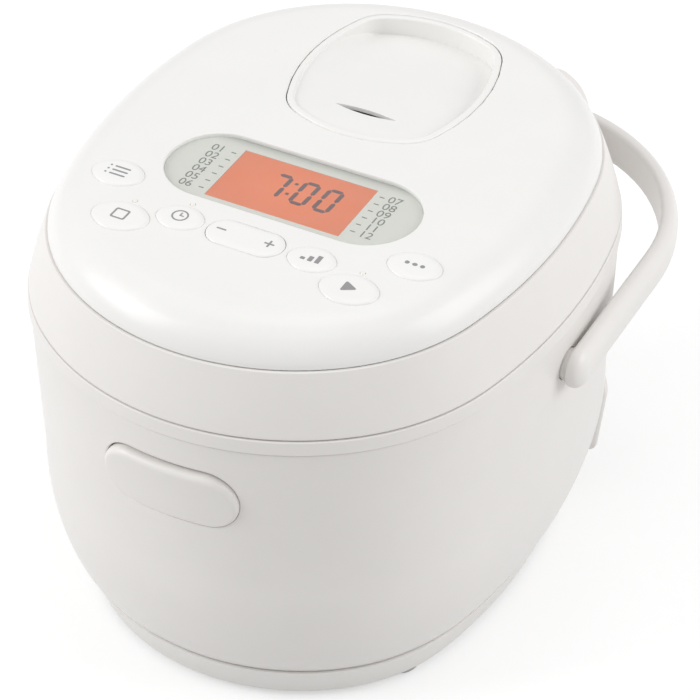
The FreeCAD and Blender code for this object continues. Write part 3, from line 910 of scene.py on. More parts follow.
def skin(form: Form, rows: Loop, windows: Sequence[ArcLoop], grow: float) -> tuple[Row, Row, list[Row]]:
    """Wall round the outline with windows cut in it.

    Args:
        form: The form to add to.
        rows: Insets and heights of the wall, from the bottom up.
        windows: Outlines of the windows, in lengths round the wall and heights.
        grow: Distance by which the windows are cut larger.

    Returns:
        The bottom row, the top row and the rows round the windows.
    """
    grid = [form.row(EGG.ring(inset, z)) for inset, z in rows]
    heights = [z for _, z in rows]
    insets = [inset for inset, _ in rows]
    columns = EGG.columns
    open_cells: set[tuple[int, int]] = set()
    edges: list[Row] = []
    for window in windows:
        loop = window.points(grow, *FINE)
        left = max(i for i, u in enumerate(columns) if u < min(p[0] for p in loop) - SIDE_ROOM)
        right = min(i for i, u in enumerate(columns) if u > max(p[0] for p in loop) + SIDE_ROOM)
        low = max(i for i, z in enumerate(heights) if z < min(p[1] for p in loop) - END_ROOM)
        high = min(i for i, z in enumerate(heights) if z > max(p[1] for p in loop) + END_ROOM)
        border = [(low, c) for c in range(left, right)] + [(r, right) for r in range(low, high)]
        border += [(high, c) for c in range(right, left, -1)] + [(r, left) for r in range(high, low, -1)]
        edge = form.row(EGG.at(u, float(np.interp(z, heights, insets)), z) for u, z in loop)
        form.fill(([grid[r][c] for r, c in border], [(columns[c], heights[r]) for r, c in border]),
                  [(edge, loop)])
        open_cells |= {(r, c) for r in range(low, high) for c in range(left, right)}
        edges.append(edge)
    for r in range(len(grid) - 1):
        for c in range(len(columns)):
            if (r, c) not in open_cells:
                d = (c + 1) % len(columns)
                form.faces.append((grid[r][c], grid[r][d], grid[r + 1][d], grid[r + 1][c]))
    return grid[0], grid[-1], edges


@dataclass
class Housing:
    """Body shell, shoulder band, base, feet, power inlet and the boards inside."""

    bottom: float = 19.8
    top: float = 153.8
    foot_inset: float = 13.5
    belly: Point = (6.0, 42.0)
    knee: Point = (2.6, 80.0)
    lean: float = 2.1
    wall: float = 2.6
    edge: float = 0.7
    roll: float = 6.0
    turn_from: float = 36.0
    turn_in: float = 2.5
    button_z: float = 124.4
    button_half: Point = (32.0, 14.9)
    handle_heading: float = 88.69
    handle_z: float = 134.0
    handle_bore: float = 7.3
    inlet_heading: float = 126.0
    inlet_half: float = 14.2
    inlet_rise: Point = (27.8, 50.2)
    inlet_corner: float = 2.0
    hood_half: float = 20.0
    hood_rise: Point = (20.0, 61.0)
    hood_corner: float = 7.0
    hood_depth: float = 15.0
    pot_y: float = -14.0
    seam: float = 160.9

    def build(self) -> None:
        """Make and dress every piece."""
        self.shell()
        self.hood()
        self.shoulder()
        dress(Palette.MATTE, "base_cover")
        dress(Palette.RUBBER, "feet")
        dress(Palette.SCREW, "base_screws", "heater_supports")
        dress(Palette.INLET, "inlet_socket")
        dress(Palette.BRASS, "inlet_pins")
        dress(Palette.BOARD, "power_board")
        dress(Palette.COMPONENT, "board_parts")

    def windows(self) -> list[ArcLoop]:
        """Openings for the release button, the inlet and the handle's pivots.

        Returns:
            Outlines in lengths round the wall and heights.
        """
        inlet = EGG.length_to(self.inlet_heading)
        pivot = EGG.length_to(self.handle_heading)
        half = self.inlet_half
        return [stadium(0.0, self.button_z, *self.button_half),
                soft_box(inlet - half, inlet + half, *self.inlet_rise, self.inlet_corner),
                circle(pivot, self.handle_z, self.handle_bore),
                circle(-pivot, self.handle_z, self.handle_bore)]

    def shell(self) -> None:
        """Moulded shell: drawn in below, nearly upright above, with round edges."""
        form = Form()
        low = arc_points((self.foot_inset, self.bottom), self.belly, self.knee, 16)
        inset, knee = self.knee
        steps = 12
        high = [(inset - self.lean * k / steps, knee + (self.top - knee) * k / steps)
                for k in range(1, steps + 1)]
        outer = low + high
        inner = [(inset + self.wall, z) for inset, z in outer]
        soft = self.edge
        walls = [z for _, z in low], [i for i, _ in low]

        def turned_under(z: float) -> Point:
            """Inset and height of the wall near its foot, which turns under more and more."""
            drawn = max(0.0, (self.turn_from - z) / (self.turn_from - self.bottom))
            return float(np.interp(z, *walls)) + self.turn_in * drawn ** 3, z

        start = self.bottom + self.roll
        outer = [turned_under(start)] + [turned_under(z) if z < self.turn_from else (inset, z)
                                         for inset, z in outer if z > start + 1.0]
        outer[-1] = (outer[-1][0], self.top - soft)
        windows = self.windows()
        out_low, out_high, out_edges = skin(form, outer, windows, soft)
        in_low, in_high, in_edges = skin(form, inner, windows, 0.0)
        head = outer[-1]
        roll_steps = 6
        under = [form.row(EGG.ring(*turned_under(start - self.roll * k / roll_steps)))
                 for k in range(1, roll_steps + 1)]
        form.bands([out_low, *under, in_low])
        over = [form.row(EGG.ring(head[0] + soft * (1 - c), head[1] + soft * s)) for c, s in quarter(4)[1:]]
        form.bands([out_high, *over, in_high])
        heights, insets = [z for _, z in outer], [i for i, _ in outer]
        for window, out_edge, in_edge in zip(windows, out_edges, in_edges):
            rolls = []
            for c, s in quarter(3)[1:]:
                loop = window.points(soft * (1 - s), *FINE)
                rolls.append(form.row(EGG.at(u, float(np.interp(z, heights, insets)) + soft * (1 - c), z)
                                      for u, z in loop))
            form.bands([out_edge, *rolls, in_edge])
        form.build("shell", "body", Palette.GLOSS, "body_shell")

    def hood(self) -> None:
        """Raised hood round the power inlet."""
        form = Form()
        x, y, radius, _, _ = EGG.sectors[3]
        turn = math.radians(self.inlet_heading)
        out, side = Vector((math.sin(turn), -math.cos(turn), 0)), Vector((math.cos(turn), math.sin(turn), 0))
        frame_at = Vector((x, y, 0))
        sunk, lean, foot, rise = 5.8, 3.8, 22.0, 35.0

        def put(loop: Loop, depth: Callable[[float], float]) -> Row:
            """Points of a loop at a distance from the arc's centre that depends on height."""
            return form.row(frame_at + side * a + out * depth(z) + Vector((0, 0, z)) for a, z in loop)

        def face(z: float) -> float:
            """Distance of the hood's face."""
            return radius - sunk + lean * (z - foot) / rise

        block = soft_box(-self.hood_half, self.hood_half, *self.hood_rise, self.hood_corner)
        mouth = soft_box(-self.inlet_half, self.inlet_half, *self.inlet_rise, self.inlet_corner)
        back = radius - self.hood_depth
        soft, lip = 2.4, 0.6
        rows = [put(block.points(), lambda z: back)]
        for c, s in quarter(5):
            rows.append(put(block.points(-soft * (1 - c)), lambda z, s=s: face(z) - soft * (1 - s)))
        form.bands(rows)
        inner = [put(mouth.points(lip * c), lambda z, s=s: face(z) - lip * s)
                 for c, s in [(1 - s, 1 - c) for c, s in quarter(3)]]
        inner.append(put(mouth.points(), lambda z: back))
        form.bands(inner)
        form.fill((rows[-1], block.points(-soft)), [(inner[0], mouth.points(lip))])
        form.fill((rows[0], block.points()), [(inner[-1], mouth.points())])
        form.build("inlet_hood", "body", Palette.GLOSS, "body_shell")

    def shoulder(self) -> None:
        """Band under the lid's seam, with the plate and seat that carry the pot."""
        form = Form()
        band = rounded([(8.0, 159.0, 0.0), (1.9, 159.0, 0.3), (1.9, self.seam, 0.2), (0.0, self.seam, 0.6),
                        (-0.4, 154.3, 0.5), (1.6, 154.3, 0.2), (1.6, 156.5, 0.0), (3.6, 156.5, 0.2),
                        (3.6, 148.0, 0.3), (5.4, 148.0, 0.3), (5.4, 156.5, 0.2), (8.0, 156.5, 0.0)])
        rows = [form.row(EGG.ring(inset, z)) for inset, z in band]
        form.bands(rows)
        seat = rounded([(89.5, 159.0, 0.8), (89.5, 156.0, 0.4), (82.5, 156.0, 0.6), (82.5, 153.5, 0.4),
                        (91.5, 153.5, 0.4), (91.5, 156.5, 0.0)])[1:]
        seat.insert(0, (90.3, 159.0))
        round_pot = circle(0.0, self.pot_y, 0.0)
        rings = [form.row((*p, z) for p in round_pot.points(radius, 3.0)) for radius, z in seat]
        form.bands(rings)
        slot = soft_box(-14.0, 14.0, -141.5, -128.0, 1.5)
        slots = [form.row((*p, z) for p in slot.points(grow))
                 for grow, z in ((0.5, 159.0), (0.15, 158.85), (0.0, 158.5), (0.0, 156.5))]
        form.bands(slots)
        for ring, pot, hole in ((rows[0], rings[0], slots[0]), (rows[-1], rings[-1], slots[-1])):
            loops = [[(form.points[i].x, form.points[i].y) for i in row] for row in (ring, pot, hole)]
            form.fill((ring, loops[0]), [(pot, loops[1]), (hole, loops[2])])
        form.build("shoulder_band", "body", Palette.GLOSS, "shoulder_ring")


@dataclass
class CookingUnit:
    """Pot, chamber, heater and temperature sensor on its spring."""

    axis_y: float = -14.0
    spring_foot: float = 26.7
    coil_radius: float = 10.6
    wire: float = 0.6
    pitch: float = 3.05
    coils: int = 5
    pressed: float = 0.8

    def build(self) -> None:
        """Make the spring and dress the carried-over pieces."""
        self.spring()
        dress(Palette.POT, "inner_pot")
        dress(Palette.CHAMBER, "pot_chamber")
        dress(Palette.HEATER, "heater_plate", "sensor_cap")

    def spring(self) -> None:
        """Coil under the sensor."""
        form = Form()
        rows = []
        steps, sides = 48 * self.coils, 10
        for k in range(steps + 1):
            turn = 2 * math.pi * k * self.coils / steps
            z = self.spring_foot + self.pitch * self.coils * k / steps
            row = []
            for j in range(sides):
                spin = 2 * math.pi * j / sides
                reach = self.coil_radius + self.wire * math.cos(spin)
                row.append((reach * math.cos(turn), self.axis_y + reach * math.sin(turn),
                            z + self.wire * math.sin(spin)))
            rows.append(form.row(row))
        form.bands(rows)
        form.faces += [tuple(rows[0]), tuple(reversed(rows[-1]))]
        piece = form.build("sensor_coil", "body", Palette.SPRING, "sensor_spring")
        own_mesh(piece)


CAP_Y = 50.0


def cap_outline() -> ArcLoop:
    """Rounded-square outline of the steam cap's opening.

    Returns:
        The outline, of eight tangent arcs.
    """
    a, b, corner = 42.0, 49.0, 20.0
    near, far = 25.0, 68.0
    t1, t2 = math.radians(near), math.radians(far)
    s1, c1, s2, c2 = math.sin(t1), math.cos(t1), math.sin(t2), math.cos(t2)
    ra, rb = a - corner * (s2 - s1), b - corner * (c1 - c2)
    side = (rb * s1 - ra * (1 - c1)) / (c2 * s1 - (1 - s2) * (1 - c1))
    end = (ra - side * (1 - s2)) / s1
    cx, cy = s1 * (end - corner), end - b - c1 * (end - corner)
    return ArcLoop(((0.0, CAP_Y + end - b, end, -near, near),
                    (cx, CAP_Y + cy, corner, near, far),
                    (a - side, CAP_Y, side, far, 180 - far),
                    (cx, CAP_Y - cy, corner, 180 - far, 180 - near),
                    (0.0, CAP_Y - end + b, end, 180 - near, 180 + near),
                    (-cx, CAP_Y - cy, corner, 180 + near, 180 + far),
                    (side - a, CAP_Y, side, 180 + far, 360 - far),
                    (-cx, CAP_Y + cy, corner, 360 - far, 360 - near)))


class KeyMark(Enum):
    """Plain pictograms on the keys."""

    LIST = "list"
    STOP = "stop"
    CLOCK = "clock"
    STEPS = "steps"
    GO = "go"
    GRAINS = "grains"


@dataclass(frozen=True)
class KeySpec:
    """A key's node, body, place, size and mark."""

    node: str
    body: str
    x: float
    y: float
    width: float
    depth: float
    mark: KeyMark

    def outline(self) -> ArcLoop:
        """The key's oval."""
        return oval(self.x, self.y, self.width / 2, self.depth / 2)


KEYS = (
    KeySpec("key_menu", "menu_key", -68.5, -66.8, 23.0, 17.5, KeyMark.LIST),
    KeySpec("key_cancel", "cancel_key", -52.3, -92.0, 25.0, 19.0, KeyMark.STOP),
    KeySpec("key_timer", "timer_key", -30.2, -81.8, 20.6, 16.0, KeyMark.CLOCK),
    KeySpec("key_firmness", "firmness_key", 30.2, -81.8, 20.6, 16.0, KeyMark.STEPS),
    KeySpec("key_start", "start_key", 52.3, -92.0, 25.0, 19.0, KeyMark.GO),
    KeySpec("key_grade", "grade_key", 68.5, -66.8, 23.0, 17.5, KeyMark.GRAINS),
)
ROCKER_Y = -81.8
ROCKER = stadium(0.0, ROCKER_Y, 17.0, 8.0)
WINDOW = stadium(0.0, -42.5, 57.5, 23.0)
LAMPS = ((-52.3, -80.2), (-30.2, -71.5), (52.3, -80.2))
TOP = 204.8


@dataclass
class Lid:
    """Lid ring, rolled top panel, underside and catch."""

    seam: float = 161.4
    edge: float = 189.3
    thick: float = 2.5
    well_floor: float = 174.0
    steam_y: float = 45.0
    outlet: float = 7.5
    arm_x: Point = (16.0, 28.0)
    hinge: Point = (132.5, 166.0)
    # Growth of each opening and the round of its edge.
    window_hole: Point = (0.0, 0.45)
    rocker_hole: Point = (0.5, 0.08)
    key_hole: Point = (0.27, 0.07)
    lamp_hole: Point = (0.0, 0.15)
    lamp_radius: float = 1.1
    well_soft: float = 0.8
    well_wall: float = 1.6
    well_thick: float = 1.5

    def build(self) -> None:
        """Make and dress every piece."""
        self.ring()
        self.arms()
        self.panel()
        dress(Palette.MATTE, "lid_underplate", "lid_catch")
        dress(Palette.SCREW, "lid_screws")
        dress(Palette.INNER_LID, "inner_lid")
        dress(Palette.SILICONE, "inner_lid_gasket", "steam_gasket")

    def ring(self) -> None:
        """Leaning wall of the lid."""
        out = arc_points((0.3, self.seam), (4.3, 176.0), (8.7, 188.4), 16)[1:]
        back = arc_points((10.3, 184.2), (6.7, 175.4), (3.2, 163.4), 8)
        profile = rounded([(0.3, self.seam, 0.9)] + [(u, z, 0.0) for u, z in out[:-1]]
                          + [(8.9, 188.9, 0.5), (10.5, 188.9, 0.3), (10.5, 186.2, 0.0), (15.0, 186.2, 0.3),
                             (15.0, 184.2, 0.3)] + [(u, z, 0.0) for u, z in back]
                          + [(12.0, 163.4, 0.3), (12.0, self.seam, 0.5)])
        form = Form()
        sweep(form, profile)
        form.build("lid_wall", "lid", Palette.GLOSS, "lid_ring")

    def arms(self) -> None:
        """Two arms that carry the lid on the hinge pin."""
        y, z = self.hinge
        near, far = self.arm_x
        soft, end, middle = 0.7, 0.9, (128.0, z)
        loop = rounded([(119.0, 161.7, 0.0), (127.0, 161.7, 1.0), (y, z - 5.0, 2.0),
                        (y + 5.0, z - 3.4, 3.0), (y + 5.0, z + 3.4, 3.0), (y, z + 5.0, 2.0),
                        (124.0, z + 5.0, 2.0), (119.0, z + 5.6, 0.0)])
        form = Form()
        for side in (-1.0, 1.0):
            rows = []
            for x, small in ((near, end), (near + soft, 1.0), (far - soft, 1.0), (far, end)):
                rows.append(form.row((side * x, middle[0] + (u - middle[0]) * small,
                                      middle[1] + (v - middle[1]) * small) for u, v in loop))
            form.bands(rows)
            for row in (rows[0], rows[-1]):
                form.fan(row, (form.points[row[0]].x, *middle))
        form.build("lid_arms", "lid", Palette.GLOSS, "lid_ring")

    @staticmethod
    def height(inset: float) -> float:
        """Height of the panel's upper face at an inset.

        Args:
            inset: Distance inside the cooker's outline.

        Returns:
            The height.
        """
        flat_from = 28.0
        if inset >= flat_from:
            return TOP
        cx, cz, radius = circle_through((9.7, 189.3), (15.6, 199.3), (flat_from, TOP))
        return cz + math.sqrt(max(radius ** 2 - (inset - cx) ** 2, 0.0))

    def holes(self) -> list[tuple[ArcLoop, float, float]]:
        """Openings of the panel's flat.

        Returns:
            Outline, growth of the opening and round of its edge, for each.
        """
        made = [(WINDOW, *self.window_hole), (ROCKER, *self.rocker_hole)]
        made += [(key.outline(), *self.key_hole) for key in KEYS]
        made += [(circle(x, y, self.lamp_radius), *self.lamp_hole) for x, y in LAMPS]
        return made

    def panel(self) -> None:
        """Rolled panel with its openings and the steam well."""
        form = Form()
        start, under = 17.0, 18.5
        rim_out = [(i, self.height(i)) for i in (17.0, 15.6, 14.2, 13.0, 12.0, 11.2, 10.6, 10.2)]
        rim = rim_out + rounded([(9.7, self.edge, 0.45), (10.9, self.edge, 0.2), (10.9, 186.3, 0.2),
                                 (12.6, 186.3, 0.2), (12.6, 189.6, 0.0), (17.2, 197.2, 0.0)])
        rim.append((under, self.height(under) - self.thick - 0.6))
        rows = [form.row(EGG.ring(inset, z)) for inset, z in rim]
        form.bands(rows)
        self.face(form, rows[0], start, 0.0)
        self.face(form, rows[-1], under, self.thick)
        form.build("top_panel", "lid", Palette.PANEL, "lid_top_panel")

    def face(self, form: Form, border: Row, inset: float, drop: float) -> None:
        """Upper or under face of the panel, with the walls of its openings.

        Args:
            form: The form to add to.
            border: The row that the face meets.
            inset: The border's inset.
            drop: Distance below the upper face; 0 is the upper face itself.
        """
        def on_face(loop: Loop, below: float) -> Row:
            """Row of a loop's points at a distance below the upper face."""
            return form.row((x, y, self.height(EGG.inset_of(x, y)) - below) for x, y in loop)

        upper = drop == 0.0
        openings = []
        for outline, grow, soft in self.holes():
            loop = outline.points(grow + soft if upper else grow)
            row = on_face(loop, drop)
            openings.append((row, loop))
            if upper:
                walls = [row]
                walls += [on_face(outline.points(grow + soft * (1 - s)), soft * (1 - c))
                          for c, s in quarter(3)[1:]]
                walls.append(on_face(outline.points(grow), self.thick))
                form.bands(walls)
        cap = cap_outline()
        loop = cap.points(self.well_soft if upper else self.well_wall)
        row = on_face(loop, drop)
        openings.append((row, loop))
        if upper:
            self.well(form, cap, row)
        else:
            form.band(row, form.row((*p, self.well_floor - self.well_thick) for p in loop))
        rings = (20.0, 22.0, 24.0, 26.0, 28.0, 31.0, 36.0, 44.0)
        spots = [(p.x, p.y) for ring in rings if ring > inset + 1.0 for p in EGG.ring(ring, 0.0)]
        clear = 2.2
        free = np.ones(len(spots), bool)
        for outline, grow, _ in self.holes() + [(cap, self.well_soft, 0.0)]:
            free &= ~inside(np.array(spots), outline.points(grow + clear))
        loose = [p for p, wanted in zip(spots, free) if wanted]
        edge = [(form.points[i].x, form.points[i].y) for i in border]
        form.fill((border, edge), openings, (on_face(loose, drop), loose))

    def well(self, form: Form, cap: ArcLoop, top: Row) -> None:
        """Well of the steam cap, down to its floor and outlet.

        Args:
            form: The form to add to.
            cap: The well's outline.
            top: The row at the panel's upper face.
        """
        soft, floor, wall = self.well_soft, self.well_floor, self.well_wall
        bevel, lip = 2.0, 0.6
        rows = [top]
        rows += [form.row((*p, TOP - soft * (1 - c)) for p in cap.points(soft * (1 - s)))
                 for c, s in quarter(4)[1:]]
        rows.append(form.row((*p, floor + bevel) for p in cap.points(0.0)))
        rows.append(form.row((*p, floor) for p in cap.points(-bevel)))
        form.bands(rows)
        outlet = circle(0.0, self.steam_y, self.outlet)
        mouth = [form.row((*p, z) for p in outlet.points(grow))
                 for grow, z in ((lip, floor), (0.0, floor - lip), (0.0, floor - self.well_thick))]
        form.bands(mouth)
        form.fill((rows[-1], cap.points(-bevel)), [(mouth[0], outlet.points(lip))])
        low = form.row((*p, floor - self.well_thick) for p in cap.points(wall))
        form.fill((low, cap.points(wall)), [(mouth[-1], outlet.points(0.0))])


@dataclass
class SteamVent:
    """Steam cap with its sloping dish, cup and seal."""

    gap: float = 0.35
    rim: float = 3.2
    low: float = 192.5
    dip: float = 195.2
    soft: float = 1.3
    wall: float = 1.6
    thick: float = 2.0
    slot_y: float = 22.6
    slot_half: Point = (14.5, 2.0)
    run_out: Point = (-41.0, -27.5)
    collar: tuple[float, float, float] = (26.4, 28.0, 189.0)
    collar_y: float = 45.0

    def build(self) -> None:
        """Make and dress every piece."""
        self.cap()
        dress(Palette.CUP, "steam_cup")
        dress(Palette.SILICONE, "steam_seal")

    def floor(self, x: float, y: float) -> float:
        """Height of the dish, which sinks towards the back and runs out to the rim at its left.

        Args:
            x: Place across.
            y: Place along.

        Returns:
            The height there.
        """
        front, bend, rear = CAP_Y - 50.0, CAP_Y - 38.0, CAP_Y + 50.0
        sunk, fall = 0.6, 0.2
        if y <= bend:
            return TOP - sunk - fall * (y - front) / (bend - front)
        left, right = self.run_out
        t = min(max((x - left) / (right - left), 0.0), 1.0)
        share = t * t * (3.0 - 2.0 * t)
        ridge = TOP - sunk - fall
        return ridge - share * (ridge - self.dip) * (y - bend) / (rear - bend)

    def lens(self, grow: float) -> Loop:
        """Outline of the vent slot: two arcs that meet in points.

        Args:
            grow: Distance by which it is larger.

        Returns:
            Points anticlockwise.
        """
        a, b = self.slot_half[0] + grow, self.slot_half[1] + grow
        y = self.slot_y
        near = arc_points((-a, y), (0.0, y - b), (a, y), 14)
        far = arc_points((a, y), (0.0, y + b), (-a, y), 14)
        return near[:-1] + far[:-1]

    def cap(self) -> None:
        """Cap: soft rim, dish that sinks towards the back, vent slot and underside."""
        form = Form()
        outline = cap_outline()
        step, soft, lip, bevel = 4.0, self.soft, 0.9, 0.25

        def flat(grow: float, z: float) -> Row:
            """Row of the outline at one height."""
            return form.row((*p, z) for p in outline.points(grow, step))

        def dish(grow: float, lift: float) -> Row:
            """Row of the outline laid on the dish, no higher than the rim."""
            return form.row((x, y, min(self.floor(x, y) + lift, TOP - 0.25))
                            for x, y in outline.points(grow, step))

        out, inn = -self.gap, -self.gap - self.rim
        foot = inn - 0.4
        rows = [flat(out - self.wall, self.low), flat(out, self.low)]
        rows += [flat(out - soft * (1 - c), TOP - soft * (1 - s)) for c, s in quarter(5)]
        rows += [form.row((x, y, max(TOP - lip * (1 - c), min(self.floor(x, y) + lip, TOP - 0.2 * (1 - c))))
                          for x, y in outline.points(inn + lip * (1 - s), step)) for c, s in quarter(4)]
        rows += [dish(inn - 0.05, 0.35), dish(inn - 0.15, 0.1), dish(foot, 0.0)]
        form.bands(rows)
        slots = [form.row((x, y, self.floor(x, y) - drop) for x, y in self.lens(grow))
                 for grow, drop in ((bevel, 0.0), (0.0, 0.2), (0.0, self.thick))]
        form.bands(slots)
        under = form.row((x, y, self.floor(x, y) - self.thick)
                         for x, y in outline.points(out - self.wall, step))
        form.band(rows[0], under)
        grid = [(float(x), float(y)) for x in range(-36, 37, 3) for y in range(8, 97, 3)]
        spots = np.array(grid)
        free = inside(spots, outline.points(inn - 2.5, step)) & ~inside(spots, self.lens(2.0))
        loose = [p for p, wanted in zip(grid, free) if wanted]
        for edge, grow, hole, lens, drop in ((rows[-1], foot, slots[0], bevel, 0.0),
                                             (under, out - self.wall, slots[-1], 0.0, self.thick)):
            inner = form.row((x, y, self.floor(x, y) - drop) for x, y in loose)
            form.fill((edge, outline.points(grow, step)), [(hole, self.lens(lens))], (inner, loose))
        self.cup_collar(form)
        form.build("steam_lid", "steam_cap_unit", Palette.PANEL, "steam_cap")

    def cup_collar(self, form: Form) -> None:
        """Collar under the cap that takes the cup, with its top sunk in the cap's floor.

        Args:
            form: The form to add to.
        """
        near, far, low = self.collar
        edge, sunk, step = 0.3, 1.2, 5.0
        ring = circle(0.0, self.collar_y, 0.0)
        profile = ((near, low + edge), (near + edge, low), (far - edge, low), (far, low + edge))
        rows = [form.row((*p, z) for p in ring.points(radius, step)) for radius, z in profile]
        tops = [form.row((x, y, self.floor(x, y) - sunk) for x, y in ring.points(radius, step))
                for radius in (far, near)]
        form.bands([*rows, *tops, rows[0]])


@dataclass
class Controls:
    """Keys, rocker, lamps and display with their marks."""

    crown: float = 205.9
    shoulder: float = 204.55
    foot: float = 200.2
    flange: float = 0.9
    mark_top: float = 205.97
    mark_foot: float = 205.5
    flange_thick: float = 1.2
    key_grow: float = 0.22
    rocker_grow: float = 0.28
    rocker_dip: Point = (0.45, 6.0)
    pad_soft: float = 3.4
    pad_flat: float = 1.4
    lcd_top: float = 202.9
    plate_top: float = 203.0

    def build(self) -> None:
        """Make and dress every piece."""
        for key in KEYS:
            form = Form()
            self.pad(form, key.outline(), self.key_grow, lambda x, y: 0.0)
            form.build(key.node + "_pad", key.body, Palette.KEY, key.node)
            self.mark(key)
        form = Form()
        depth, reach = self.rocker_dip
        self.pad(form, ROCKER, self.rocker_grow, lambda x, y: depth * math.exp(-(x / reach) ** 2))
        form.build("time_pad", "rocker", Palette.KEY, "time_rocker")
        self.rocker_marks()
        self.window()
        self.digits()
        self.numbers()
        dress(Palette.LEGEND, "legend_plate")
        dress(Palette.DISPLAY, "display_panel")
        dress(Palette.BOARD, "control_board")
        dress(Palette.COMPONENT, "switches")
        dress(Palette.LAMP, "lamps")

    def pad(self, form: Form, outline: ArcLoop, grow: float, dip: Callable[[float, float], float]) -> None:
        """Pillow-shaped pad with a flange below the panel.

        Args:
            form: The form to add to.
            outline: The pad's outline.
            grow: Distance by which the pad's wall stands outside it.
            dip: How far the crown sinks at a place.
        """
        def layer(spread: float, z: float, sink: float) -> Row:
            """Row of the outline, lowered by a share of the dip."""
            return form.row((x, y, z - sink * dip(x, y)) for x, y in outline.points(spread, *PAD_STEPS))

        flange_top = self.foot + self.flange_thick
        rows = [layer(self.flange, self.foot, 0.0), layer(self.flange, flange_top, 0.0),
                layer(grow, flange_top, 0.0), layer(grow, self.shoulder, 0.0)]
        soft, rise = self.pad_soft, self.crown - self.shoulder
        rows += [layer(grow - soft * (1 - c), self.shoulder + rise * s, s) for c, s in quarter(8)[1:]]
        middle = grow - soft - self.pad_flat
        rows.append(layer(middle, self.crown, 1.0))
        form.bands(rows)
        form.fill((rows[-1], outline.points(middle, *PAD_STEPS)))
        form.fill((rows[0], outline.points(self.flange, *PAD_STEPS)))

    def stamp(self, form: Form, outer: Loop, holes: Sequence[Loop] = (), low: float = 0.0,
              high: float = 0.0) -> None:
        """Thin raised print.

        Args:
            form: The form to add to.
            outer: The print's outline.
            holes: Outlines of its holes.
            low: Height of its foot; 0 stands for a key's.
            high: Height of its top; 0 stands for a key's.
        """
        low, high = low or self.mark_foot, high or self.mark_top
        tops, feet = [], []
        for loop in [outer, *holes]:
            tops.append((form.row((x, y, high) for x, y in loop), loop))
            feet.append((form.row((x, y, low) for x, y in loop), loop))
            form.band(feet[-1][0], tops[-1][0])
        form.fill(tops[0], tops[1:])
        form.fill(feet[0], feet[1:])

    def mark(self, key: KeySpec) -> None:
        """Make the pictogram of a key.

        Args:
            key: The key that carries it.
        """
        form = Form()
        x, y = key.x, key.y
        if key.mark is KeyMark.LIST:
            half, pitch, dot = 4.6, 2.6, 0.9
            for k in (-1, 0, 1):
                self.stamp(form, stadium(x + dot, y + pitch * k, half - dot, 0.45).points(0.0, 20.0))
                self.stamp(form, circle(x - half, y + pitch * k, 0.5).points(0.0, 30.0))
        elif key.mark is KeyMark.STOP:
            outer, inner = (soft_box(x - half, x + half, y - half, y + half, corner).points(0.0, 15.0)
                            for half, corner in ((3.3, 0.9), (2.5, 0.5)))
            self.stamp(form, outer, [inner])
        elif key.mark is KeyMark.CLOCK:
            self.stamp(form, circle(x, y, 3.6).points(0.0, 8.0), [circle(x, y, 2.9).points(0.0, 8.0)])
            self.stamp(form, [(x - 0.3, y - 0.3), (x + 1.7, y - 0.3), (x + 1.7, y + 0.3), (x + 0.3, y + 0.3),
                              (x + 0.3, y + 2.1), (x - 0.3, y + 2.1)])
        elif key.mark is KeyMark.STEPS:
            for k in range(3):
                self.stamp(form, soft_box(x - 4.2 + 3.2 * k, x - 2.2 + 3.2 * k, y - 2.6, y - 1.0 + 1.7 * k,
                                          0.3).points(0.0, 30.0))
        elif key.mark is KeyMark.GO:
            self.stamp(form, rounded([(x - 2.6, y - 3.4, 0.6), (x + 3.6, y, 0.6), (x - 2.6, y + 3.4, 0.6)]))
        else:
            pitch = 3.4
            for grain in (circle(x - pitch, y, 1.0), oval(x, y, 1.15, 0.95), circle(x + pitch, y, 1.0)):
                self.stamp(form, grain.points(0.0, 20.0))
        form.build(key.node + "_mark", key.body, Palette.INK, slot="legend_grey")

    def rocker_marks(self) -> None:
        """Minus and plus on the rocker's ends."""
        form = Form()
        x, y, arm, bar = 11.0, ROCKER_Y, 2.2, 0.4
        self.stamp(form, stadium(-x, y, arm, bar).points(0.0, 20.0))
        plus = [(-bar, -arm), (bar, -arm), (bar, -bar), (arm, -bar), (arm, bar), (bar, bar),
                (bar, arm), (-bar, arm), (-bar, bar), (-arm, bar), (-arm, -bar), (-bar, -bar)]
        self.stamp(form, [(x + u, y + v) for u, v in plus])
        form.build("time_marks", "rocker", Palette.INK, slot="legend_grey")

    def window(self) -> None:
        """Clear cover with a softened edge, just above the printed plate."""
        form = Form()
        gap, soft = 0.15, 0.25
        low, high = self.plate_top + 0.25, 204.0
        base = WINDOW.points(-gap, *FINE)
        rows = [form.row((*p, low) for p in base)]
        rows += [form.row((*p, high - soft * (1 - s)) for p in WINDOW.points(-gap - soft * (1 - c), *FINE))
                 for c, s in quarter(3)]
        form.bands(rows)
        form.fill((rows[-1], WINDOW.points(-gap - soft, *FINE)))
        form.fill((rows[0], base))
        form.build("display_cover", "lid", Palette.GLASS, "display_window")

    def digits(self) -> None:
        """Digits of the clock, each of bars that lean a little."""
        form = Form()
        low, high = self.lcd_top, self.lcd_top + 0.05
        top, height, width, bar = -34.3, 14.9, 6.0, 1.9
        lean, gap, dot = 0.04, 0.15, 0.75

